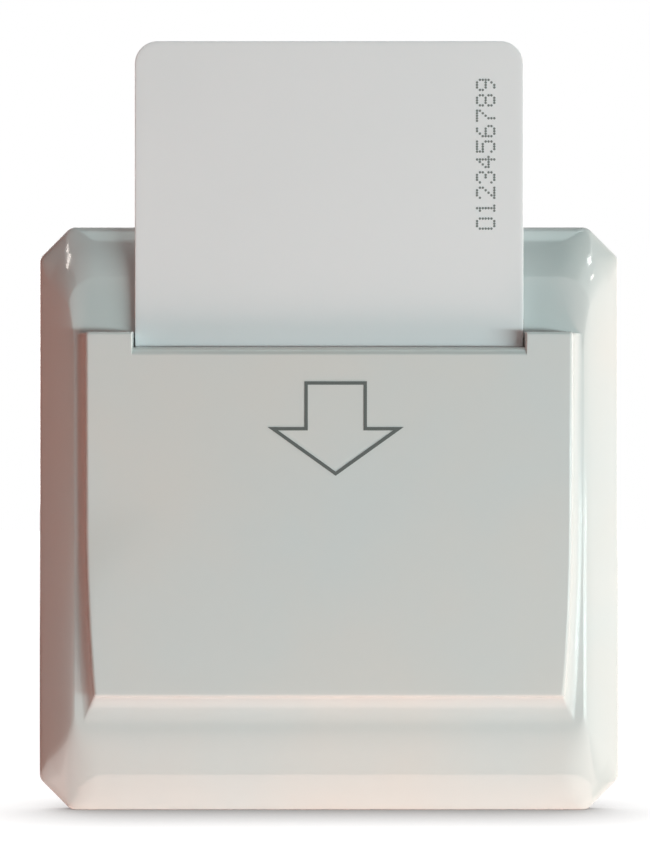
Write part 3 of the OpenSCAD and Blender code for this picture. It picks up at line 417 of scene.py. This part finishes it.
def corner_arc(cx, cy, radius, start, stop, steps):
    turns = [math.radians(mix(start, stop, i / steps)) for i in range(steps + 1)]
    return [(cx + radius * math.cos(a), cy + radius * math.sin(a)) for a in turns]


def circle(cx, cy, radius, sides):
    return corner_arc(cx, cy, radius, 0, 360 - 360 / sides, sides - 1)


# A ring is made of corners with straight sides between them, and bow may move the points of a side in x
def ring(corners, bow):
    points = []
    for i, corner in enumerate(corners):
        points += corner
        a, b = corner[-1], corners[(i + 1) % len(corners)][0]
        for k in range(1, SIDE):
            x, y = mix(a[0], b[0], k / SIDE), mix(a[1], b[1], k / SIDE)
            points.append((bow(x, y, i), y))
    return points


print("points in a ring", 4 * (CORNER_POINTS + SIDE - 1))

# %% [markdown]
# A skin closes a stack of rings into a solid. Holes and slots are then cut as in a workshop, with other
# closed skins as the tools. Double points and slivers are cleaned away at once, because they would spoil
# the shading, and an edge counts as sharp from a given angle on.

# %% Skins and cuts
SMOOTH = 35
join_gap, sliver = 0.002, 0.001


def clean(mesh):
    form = bmesh.new()
    form.from_mesh(mesh)
    bmesh.ops.remove_doubles(form, verts=form.verts, dist=join_gap * MM)
    bmesh.ops.dissolve_degenerate(form, edges=form.edges, dist=sliver * MM)
    form.to_mesh(mesh)
    form.free()


def shade(mesh, smooth):
    mesh.polygons.foreach_set("use_smooth", [True] * len(mesh.polygons))
    mesh.set_sharp_from_angle(angle=math.radians(smooth))


def finish_mesh(name, mesh, material, smooth):
    clean(mesh)
    shade(mesh, smooth)
    mesh.materials.clear()
    mesh.materials.append(material)
    piece = bpy.data.objects.new(name, mesh)
    scene.collection.objects.link(piece)
    return piece


def skin(name, rings, material):
    count = len(rings[0])
    faces = [list(range(count - 1, -1, -1))]
    for r in range(len(rings) - 1):
        low, high = r * count, (r + 1) * count
        for k in range(count):
            n = (k + 1) % count
            faces.append([low + k, low + n, high + n, high + k])
    last = (len(rings) - 1) * count
    faces.append(list(range(last, last + count)))
    mesh = bpy.data.meshes.new(name)
    mesh.from_pydata([stand(*p) for r in rings for p in r], [], faces)
    return finish_mesh(name, mesh, material, SMOOTH)


def box_tool(name, low, high):
    outline = [(low[0], low[1]), (high[0], low[1]), (high[0], high[1]), (low[0], high[1])]
    return skin(name, [[(x, y, z) for x, y in outline] for z in (low[2], high[2])], cover_abs)


def carve(piece, tools, operation="DIFFERENCE", smooth=SMOOTH):
    for tool in tools:
        cut = piece.modifiers.new(tool.name, "BOOLEAN")
        cut.operation = operation
        cut.solver = "EXACT"
        cut.object = tool
    seen = piece.evaluated_get(bpy.context.evaluated_depsgraph_get())
    mesh = bpy.data.meshes.new_from_object(seen)
    piece.modifiers.clear()
    piece.data = mesh
    shade(mesh, smooth)
    for tool in tools:
        bpy.data.objects.remove(tool)


def even_normals(piece):
    even = piece.modifiers.new("even_normals", "WEIGHTED_NORMAL")
    even.keep_sharp = True


print("edges are sharp from", SMOOTH, "degrees")

# %% [markdown]
# ## The front cover
# The cover is moulded in one piece and snaps over the base plate. Its frame swells from a thin rim: steep
# and short at the sides, long and soft at the bottom, and at the top a bevel, a crease and a ramp that runs
# down behind the card. The panel grows out of it through a hollow curve at the sides and the bottom, and
# ends in a straight wall at the top, where the card goes in.

# %% Rings of the frame
cover_low, cover_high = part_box("front_cover")
plate_x = cover_high[0] / MM
plate_bottom, plate_top = cover_low[2] / MM, cover_high[2] / MM
rim_h, deck_z = 2.2, 7.0
side_run, bottom_run, top_bevel, top_run = 5.6, 12.0, 7.4, 15.15
# Share of the bevel below the top crease, and how much of the side's swelling is a straight slope
crease, side_slope = 2 / 3, 0.35
# Corner cuts at the rim and at the deck, and the rounding of their ends
rim_cut, deck_cut, cut_round, rim_round, round_end = 4.4, 1.5, 1.65, 1.6, 0.2
# Keeps two rings from lying on one line where the frame meets the panel
seam = 0.05
CORNER_SIGNS = ((1, -1), (1, 1), (-1, 1), (-1, -1))


def bulge(t):
    return 1 - (1 - t) ** 2


def bevel_z(t):
    return mix(rim_h, deck_z, bulge(t))


# Mirrored corners come out backwards, so two of the four are turned round
def in_order(points, turn):
    return points if turn in (1, 3) else points[::-1]


def frame_ring(t, z, inset=0.0):
    x = plate_x - inset - side_run * mix(bulge(t), t, side_slope)
    top = top_bevel * t / crease
    if t >= crease:
        top = mix(top_bevel, top_run - seam, (t - crease) / (1 - crease))
    low, high = plate_bottom + inset + bottom_run * t, plate_top - inset - top
    cut = mix(rim_cut, deck_cut, t)
    r = min(cut_round * cut, mix(rim_round, cut_round * cut, t / round_end))
    tail = cut + r * math.tan(math.radians(EIGHTH / 2))

    def corner(turn):
        sx, sy = CORNER_SIGNS[turn]
        ey = high if sy > 0 else low
        first = corner_arc(x - r, -tail, r, 0, EIGHTH, ARC)
        second = corner_arc(x - tail, -r, r, EIGHTH, QUARTER, ARC)
        return in_order([(sx * px, ey + sy * py) for px, py in first + second], turn)

    flat = ring([corner(turn) for turn in range(len(CORNER_SIGNS))], lambda px, py, side: px)
    return [(px, py, z) for px, py in flat]


print("plate", 2 * plate_x, "x", round(plate_top - plate_bottom, 2), "mm")

# %% Rings of the panel
panel_x, panel_bow, panel_mid = 33.6, 1.0, 0.85
panel_low, panel_high = -24.4, plate_top - top_run
face_low, face_rise = 10.0, 1.2
edge_r, corner_r = 0.5, 0.35
# Places of the two upright sides in a ring
RIGHT, LEFT = 0, 2


def face_z(y):
    return face_low + (y - panel_low) * face_rise / (panel_high - panel_low)


def panel_ring(side, foot, top, height):
    low, high = panel_low - foot, panel_high + top

    def edge(y):
        u = min(1, max(0, (y - low) / (panel_mid - low)))
        return panel_x - panel_bow * (1 - u) ** 2 + side

    def corner(turn):
        sx, sy = CORNER_SIGNS[turn]
        ey = high if sy > 0 else low
        points = corner_arc(edge(ey) - corner_r, -corner_r, corner_r, 0, QUARTER, CORNER_POINTS - 1)
        return in_order([(sx * px, ey + sy * py) for px, py in points], turn)

    def bow(px, py, side_no):
        if side_no == RIGHT:
            return edge(py)
        return -edge(py) if side_no == LEFT else px

    flat = ring([corner(turn) for turn in range(len(CORNER_SIGNS))], bow)
    return [(px, py, height(py)) for px, py in flat]


print("panel", 2 * panel_x, "x", round(panel_high - panel_low, 2), "mm")

# %% Skin of the cover
draft, foot_run, face_inset = 1.8, 4.1, 0.6
rim_end, rim_drop = 0.06, 0.5
RIM_STEPS, BEVEL_STEPS, COVE_STEPS, EDGE_STEPS = 6, 48, 16, 6


# A curve that leaves the rim's wall and joins the bevel rounds the edge between them
def soft_rim():
    start, middle = frame_ring(0, rim_h - rim_drop), frame_ring(0, rim_h)
    end = frame_ring(rim_end, bevel_z(rim_end))
    rings = []
    for i in range(RIM_STEPS + 1):
        s = i / RIM_STEPS
        rings.append([tuple((1 - s) ** 2 * p[j] + 2 * s * (1 - s) * q[j] + s * s * r[j] for j in range(3))
                      for p, q, r in zip(start, middle, end)])
    return rings


rings = [frame_ring(0, 0)] + soft_rim()
for i in range(1, BEVEL_STEPS + 1):
    t = mix(rim_end, 1, i / BEVEL_STEPS)
    rings.append(frame_ring(t, bevel_z(t)))
for i in range(COVE_STEPS + 1):
    a = math.radians(QUARTER * i / COVE_STEPS)
    spread, rise = 1 - math.sin(a), 1 - math.cos(a)
    rings.append(panel_ring((draft - seam) * spread, foot_run * spread, 0,
                            lambda y, rise=rise: mix(deck_z, face_z(y) - edge_r, rise)))
for i in range(1, EDGE_STEPS + 1):
    a = math.radians(QUARTER * i / EDGE_STEPS)
    pull = -edge_r * (1 - math.cos(a))
    rings.append(panel_ring(pull, pull, pull, lambda y, a=a: face_z(y) - edge_r * (1 - math.sin(a))))
face_in = -edge_r - face_inset
rings.append(panel_ring(face_in, face_in, face_in, face_z))
cover = skin("front_cover_skin", rings, cover_abs)
print("outer skin", len(cover.data.polygons), "faces")

# %% [markdown]
# The cover is hollow, 2 mm thick, with a room for the guide behind the panel. The slot is a mouth in the
# panel's top wall and a notch in its front, through which the card's foot is seen. The notch has a rounded
# lip, so that a card slides in without catching.

# %% Hollow the cover and cut the slot
# How far a cutting tool reaches past what it cuts
past = 1.0
wall, back_z = 2.0, 8.7
room_x, room_low, room_high = 31.29, -22.6, 25.2
mouth_x, mouth_low, mouth_back, slot_top = 27.15, 24.7, 6.8, 28.0
notch_x, notch_sunk, notch_end, end_flare = 27.1, 0.5, 13.0, 1.3
lip_y, lip_r, side_flare = 24.0, 1.5, 0.2
INSIDE_STEPS, LIP_STEPS = 16, 9
inside = [frame_ring(0, -past, wall)]
for i in range(INSIDE_STEPS + 1):
    t = i / INSIDE_STEPS
    inside.append(frame_ring(t, bevel_z(t) - wall, wall))
lip_z = face_z(lip_y) - lip_r
levels = [(back_z - notch_sunk, 0.0)]
for i in range(LIP_STEPS + 1):
    a = math.radians(QUARTER * i / LIP_STEPS)
    levels.append((lip_z + lip_r * math.sin(a), 1 - math.cos(a)))
levels.append((notch_end, end_flare))
notch = []
for z, flare in levels:
    x, low = notch_x + side_flare * flare, lip_y - lip_r * flare
    notch.append([(-x, low, z), (x, low, z), (x, slot_top, z), (-x, slot_top, z)])
carve(cover, [
    skin("frame_inside", inside, cover_abs),
    box_tool("card_room", (-room_x, room_low, -past), (room_x, room_high, back_z)),
    box_tool("mouth", (-mouth_x, mouth_low, mouth_back), (mouth_x, slot_top, back_z)),
    skin("notch", notch, cover_abs),
])
print("hollow cover", len(cover.data.polygons), "faces")

# %% [markdown]
# Four ribs inside the cover rest on the base plate, and four hooks at its sides snap under the plate's
# edge.

# %% Ribs and hooks
snap_y = 18
rib_x, rib_half_x, rib_half_y, rib_low, rib_high = 32.445, 1.005, 2.5, 2.5, 5.5
hook_in, hook_out, hook_half_y, hook_low, hook_high = 35.51, 39.5, 5, 0.15, 0.95
tools = []
for sx in (-1, 1):
    for y in (-snap_y, snap_y):
        x = sx * rib_x
        tools.append(box_tool("rib", (x - rib_half_x, y - rib_half_y, rib_low),
                              (x + rib_half_x, y + rib_half_y, rib_high)))
        x0, x1 = sorted((sx * hook_in, sx * hook_out))
        tools.append(box_tool("hook", (x0, y - hook_half_y, hook_low), (x1, y + hook_half_y, hook_high)))
carve(cover, tools, "UNION")
even_normals(cover)
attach(cover, "base")
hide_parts("front_cover")
print("cover", len(cover.data.polygons), "faces")

# %% [markdown]
# ## The key card
# A key card is punched from laminated PVC sheet in the size of a bank card, 85.60 by 53.98 mm and 0.76 mm
# thick, with corners of 3.18 mm radius. Punching leaves edges that are just broken, so the rim here is
# rounded by about a tenth of a millimetre. A box with a bevel would do as well; rings give the round
# corners and the broken edge in one go.

# %% Card
card_low, card_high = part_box("key_card")
card_back, card_front = -card_high[1] / MM, -card_low[1] / MM
card_edge, card_corner, card_face = 0.12, 3.18, 0.5
ROUND_STEPS = 4


def card_ring(z, inset):
    x0, x1 = card_low[0] / MM + inset, card_high[0] / MM - inset
    y0, y1 = card_low[2] / MM + inset, card_high[2] / MM - inset
    r = card_corner - inset
    centres = ((x1 - r, y0 + r), (x1 - r, y1 - r), (x0 + r, y1 - r), (x0 + r, y0 + r))
    corners = [corner_arc(cx, cy, r, QUARTER * (i - 1), QUARTER * i, CORNER_POINTS - 1)
               for i, (cx, cy) in enumerate(centres)]
    return [(x, y, z) for x, y in ring(corners, lambda px, py, side: px)]


rounds = [math.radians(QUARTER * i / ROUND_STEPS) for i in range(ROUND_STEPS + 1)]
profile = [(card_edge * (1 - math.sin(a)), card_edge * (1 - math.cos(a))) for a in rounds]
rings = [card_ring(card_back, card_edge + card_face)]
rings += [card_ring(card_back + depth, inset) for depth, inset in profile[::-1]]
rings += [card_ring(card_front - depth, inset) for depth, inset in profile]
rings.append(card_ring(card_front, card_edge + card_face))
card = skin("key_card_sheet", rings, card_pvc)
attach(card, "card")
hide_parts("key_card")
print("card front at", round(card_front, 2), "mm")

# %% [markdown]
# A room card carries a short number, put on by a needle or ink-jet printer as rows of dots. A plain count
# from 0 to 9 stands for it, read from the bottom up along the right edge. Each dot is a thin disc of ink on
# the sheet. A texture could draw them too, but discs are real shapes that stay sharp near by and travel
# with the card.

# %% Card number
FONT = {
    "0": ".###. #...# #...# #...# #...# #...# .###.", "1": "..#.. .##.. ..#.. ..#.. ..#.. ..#.. .###.",
    "2": ".###. #...# ....# ...#. ..#.. .#... #####", "3": ".###. #...# ....# ..##. ....# #...# .###.",
    "4": "...#. ..##. .#.#. #..#. ##### ...#. ...#.", "5": "##### #.... ####. ....# ....# #...# .###.",
    "6": "..##. .#... #.... ####. #...# #...# .###.", "7": "##### ....# ...#. ..#.. .#... .#... .#...",
    "8": ".###. #...# #...# .###. #...# #...# .###.", "9": ".###. #...# #...# .#### ....# ...#. .##..",
}
dot_r, dot_up, row_pitch, column_pitch, digit_pitch = 0.17, 0.02, 0.4, 0.35, 2.14
number_x, number_y = 20.55, 40.5
DOT_SIDES = 12
dots = []
for place_no, digit in enumerate("0123456789"):
    for row, line in enumerate(FONT[digit].split()):
        for column in [i for i, mark in enumerate(line) if mark == "#"]:
            up = number_y + place_no * digit_pitch + column * column_pitch
            dots.append((number_x + row * row_pitch, up))
points, faces = [], []
for cx, cy in dots:
    low, high = len(points), len(points) + DOT_SIDES
    for z in (card_front - dot_up, card_front + dot_up):
        points += [stand(x, y, z) for x, y in circle(cx, cy, dot_r, DOT_SIDES)]
    faces.append(list(range(high - 1, low - 1, -1)))
    faces.append(list(range(high, high + DOT_SIDES)))
    for k in range(DOT_SIDES):
        n = (k + 1) % DOT_SIDES
        faces.append([low + k, low + n, high + n, high + k])
mesh = bpy.data.meshes.new("card_number")
mesh.from_pydata(points, [], faces)
mesh.materials.append(ribbon_ink)
number = bpy.data.objects.new("card_number", mesh)
scene.collection.objects.link(number)
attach(number, "card")
print("dots", len(dots))

# %% [markdown]
# ## The lever's spring
# A torsion spring swings the sensing lever forward again when the card is pulled. It is wound from half a
# millimetre of hard steel wire: a leg behind the lever, two turns round the pivot pin, and a leg behind a
# cross rib of the guide. A wire is a small ring carried along a path. Each new ring is turned square to the
# path and otherwise kept as it was, so that the wire doesn't twist, and the cut ends are drawn in a little,
# as the cutter leaves them. A curve with a round bevel could give the same wire; rings also close its ends.

# %% Spring wire
WIRE_SIDES = 12
cut_share, cut_length = 0.7, 0.08


def wire(name, path, radius, material):
    points = [Vector(p) for p in path]
    across, rings = Vector((1, 0, 0)), []
    for i, point in enumerate(points):
        ahead = (points[min(i + 1, len(points) - 1)] - points[max(i - 1, 0)]).normalized()
        across = (across - ahead * across.dot(ahead)).normalized()
        up = ahead.cross(across)
        r = radius * (cut_share if i in (0, len(points) - 1) else 1)
        turns = [math.tau * k / WIRE_SIDES for k in range(WIRE_SIDES)]
        rings.append([tuple(point + (across * math.cos(a) + up * math.sin(a)) * r) for a in turns])
    return skin(name, rings, material)


def along(a, b, steps):
    shares = [0, cut_length / math.dist(a, b)] + [i / steps for i in range(1, steps)]
    return [tuple(mix(p, q, t) for p, q in zip(a, b)) for t in shares]


wire_r, spring_x, pivot_y, pivot_z = 0.25, 1.0, 2.0, 3.0
turn_r, turn_pitch, turns_wound = 1.95, 1.05, 2
lever_leg_y, lever_leg_z, guide_leg_y = -1.95, 2.12, 5.95
TURN_STEPS, LEG_STEPS = 32, 6
path = []
for i in range(turns_wound * TURN_STEPS + 1):
    a = math.tau * i / TURN_STEPS - math.pi / 2
    path.append((spring_x + turn_pitch * i / TURN_STEPS, pivot_y + turn_r * math.cos(a),
                 pivot_z + turn_r * math.sin(a)))
first = along((spring_x, lever_leg_y, lever_leg_z), path[0], LEG_STEPS)
second = along((path[-1][0], guide_leg_y, path[-1][2]), path[-1], LEG_STEPS)
spring = wire("lever_spring_wire", first + path + second[::-1], wire_r, spring_steel)
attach(spring, "base")
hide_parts("lever_spring")

# %% [markdown]
# ## Wall screws
# Two M3.5 screws with pan heads hold the plate to the wall box. A rolled thread is a ridge that climbs by
# one pitch in each turn. In rings it comes almost by itself: on every ring the radius swings once between
# root and crest, and from ring to ring the swing moves round. The ridge runs out below the neck and is cut
# off by the cone of the tip.

# %% Wall screws
neck_r, crest_r, root_r, pitch = 1.4, 1.75, 1.4, 0.6
thread_top, tip_z, tip_r, run_out, screw_x = -0.5, -20.0, 1.05, 0.5, 30.15
head_r, head_z, head_h, head_edge, head_side = 3.2, 2.5, 1.9, 0.15, 0.8
dome_r, dome_h, crown_r, crown_drop, middle_r = 1.4, 0.85, 0.9, 0.07, 0.25
slot_w = 1.07
SHANK_SIDES, PITCH_STEPS, DOME_STEPS = 24, 8, 6


def thread_r(z, turn):
    limit = min(tip_r + z - tip_z, neck_r + run_out * (thread_top - z), crest_r)
    swing = 0.5 + 0.5 * math.cos(math.tau * z / pitch - turn)
    return min(limit, mix(root_r, crest_r, swing))


def shank_ring(cx, z):
    turns = [math.tau * k / SHANK_SIDES for k in range(SHANK_SIDES)]
    return [(cx + thread_r(z, a) * math.cos(a), thread_r(z, a) * math.sin(a), z) for a in turns]


def head_outline():
    turns = [math.radians(QUARTER * i / DOME_STEPS) for i in range(1, DOME_STEPS + 1)]
    outline = [(neck_r, 0), (head_r - head_edge, 0), (head_r, head_edge), (head_r, head_side)]
    outline += [(head_r - dome_r * (1 - math.cos(a)), head_side + dome_h * math.sin(a)) for a in turns]
    return outline + [(crown_r, head_h - crown_drop), (middle_r, head_h)]


def wall_screw(name, cx):
    step = pitch / PITCH_STEPS
    rings = [shank_ring(cx, tip_z + i * step) for i in range(round((thread_top - tip_z) / step) + 1)]
    rings += [[(x, y, head_z + h) for x, y in circle(cx, 0, r, SHANK_SIDES)] for r, h in head_outline()]
    screw = skin(name, rings, zinc_steel)
    carve(screw, [box_tool("driver_slot", (cx - head_r - past, -slot_w / 2, head_z + head_h / 2),
                           (cx + head_r + past, slot_w / 2, head_z + head_h + past))])
    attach(screw, "base")
    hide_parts("fixing_screws")
    return screw


for name, cx in (("wall_screw_left", -screw_x), ("wall_screw_right", screw_x)):
    print(name, len(wall_screw(name, cx).data.polygons), "faces")

# %% [markdown]
# ## The rear housing
# The box that goes into the wall is moulded in off-white polycarbonate. A copy of its measured walls is
# taken, and its outer edges are rounded, since no moulding has a perfectly sharp corner. A bevel modifier
# would round the inner edges too, where other pieces fit, so the outer edges are picked by their place.
# Flat faces are merged first, so that each edge is one line and the rounding has room.

# %% Rear housing
SHARP, FLAT, EDGE_SEGMENTS = 40, 0.5, 3
box_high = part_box("rear_housing")[1]
box_x, box_back = box_high[0] / MM, box_high[1] / MM
box_cut, box_wall, box_edge, seat_y, near = 3.0, 1.8, 0.4, 1.0, 0.01
box_smooth = 30
source = nodes["rear_housing"]
form = bmesh.new()
form.from_mesh(source.data)
bmesh.ops.transform(form, matrix=source.matrix_world, verts=form.verts)
bmesh.ops.remove_doubles(form, verts=form.verts, dist=sliver * MM)
bmesh.ops.dissolve_limit(form, angle_limit=math.radians(FLAT), verts=form.verts, edges=form.edges)


# The housing is as wide as high, with its four corners cut off
def on_outside(edge):
    x, depth, y = (edge.verts[0].co + edge.verts[1].co) / (2 * MM)
    on_wall = max(abs(x), abs(y)) > box_x - near or abs(x) + abs(y) > 2 * box_x - box_cut - near
    return depth > seat_y and (on_wall or depth > box_back - near)


corners = [edge for edge in form.edges if edge.is_convex and edge.calc_face_angle(0) > math.radians(SHARP)]
corners = [edge for edge in corners if on_outside(edge)]
bmesh.ops.bevel(form, geom=corners, offset=box_edge * MM, segments=EDGE_SEGMENTS, profile=0.5,
                affect="EDGES", clamp_overlap=True)
mesh = bpy.data.meshes.new("rear_housing_box")
form.to_mesh(mesh)
form.free()
housing = finish_mesh("rear_housing_box", mesh, housing_pc, box_smooth)
print("housing edges rounded", len(corners))

# %% [markdown]
# The mould adds more: rows of vents that let out the warmth of the relay's coil, a shallow field on the
# back that is left bare, and the round marks of the pins that push the moulding out of its tool.

# %% Vents, field and pin marks
vent_w, vent_pitch, vents, vent_mid, vent_back, vent_front = 1.2, 3.0, 5, 5.0, -17.5, -9.5
field_x, field_low, field_high, field_depth = 16.0, -5.0, 18.0, 0.3
mark_r, mark_depth, mark_x, mark_ys = 1.6, 0.15, 20.2, (-2.5, 15.5)
MARK_SIDES = 24
behind = -box_back - past
tools = [box_tool("field", (-field_x, field_low, behind), (field_x, field_high, field_depth - box_back))]
for side in (-1, 1):
    x0, x1 = sorted((side * (box_x + past), side * (box_x - box_wall - past)))
    for i in range(vents):
        y = vent_mid + vent_pitch * (i - (vents - 1) / 2)
        tools.append(box_tool("vent", (x0, y - vent_w / 2, vent_back), (x1, y + vent_w / 2, vent_front)))
    for y in mark_ys:
        outline = circle(side * mark_x, y, mark_r, MARK_SIDES)
        rings = [[(px, py, z) for px, py in outline] for z in (behind, mark_depth - box_back)]
        tools.append(skin("pin_mark", rings, housing_pc))
carve(housing, tools, smooth=box_smooth)
clean(housing.data)
even_normals(housing)
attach(housing, "base")
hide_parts("rear_housing")
print("housing", len(housing.data.polygons), "faces")

# %% [markdown]
# ## Measured pieces that stay
# The arrow, the base plate and the works behind it keep their measured shapes, and each gets the material
# it is made of. The base plate and the terminal blocks also get a small broken edge, because no tool leaves
# a perfectly sharp corner. Their double points are joined and their flat faces merged first, so that the
# edge runs evenly. The round parts have their double points joined, which takes out faces without area.

# %% Finish the measured pieces
FINISH = {
    "arrow_print": print_ink, "card_guide": guide_abs, "guide_screws": zinc_steel, "lever": lever_acetal,
    "lever_pin": pin_steel, "switch_case": switch_pbt, "switch_plunger": plunger_pbt,
    "switch_pins": tinned_copper, "base_plate": base_abs, "housing_screws": zinc_steel,
    "circuit_board": board_laminate, "board_screws": zinc_steel, "relay_case": relay_pbt,
    "relay_pins": tinned_copper, "film_capacitor": capacitor_box, "smoothing_capacitor": capacitor_sleeve,
    "rectifier_diodes": black_epoxy, "dropper_resistor": resistor_coating, "timer_chip": black_epoxy,
    "timer_chip_pins": tinned_copper, "relay_transistor": black_epoxy, "supply_terminals": terminal_pa,
    "load_terminals": terminal_pa, "terminal_cages": clamp_brass, "terminal_screws": zinc_steel,
    "terminal_pins": tinned_copper,
}
BROKEN_EDGE = {"base_plate": 0.2, "supply_terminals": 0.15, "load_terminals": 0.15}
ROUND_PARTS = ("rectifier_diodes", "dropper_resistor")
for name, material in FINISH.items():
    piece = nodes[name]
    piece.data.materials.clear()
    piece.data.materials.append(material)
    if name in BROKEN_EDGE or name in ROUND_PARTS:
        piece.modifiers.new("join", "WELD").merge_threshold = sliver * MM
    if name in BROKEN_EDGE:
        flat = piece.modifiers.new("flat_faces", "DECIMATE")
        flat.decimate_type = "DISSOLVE"
        flat.angle_limit = math.radians(FLAT)
        soft = piece.modifiers.new("edge", "BEVEL")
        soft.width = BROKEN_EDGE[name] * MM
        soft.segments = EDGE_SEGMENTS
        soft.limit_method = "ANGLE"
        soft.angle_limit = math.radians(SHARP)
        soft.use_clamp_overlap = False
print("finished", len(FINISH))
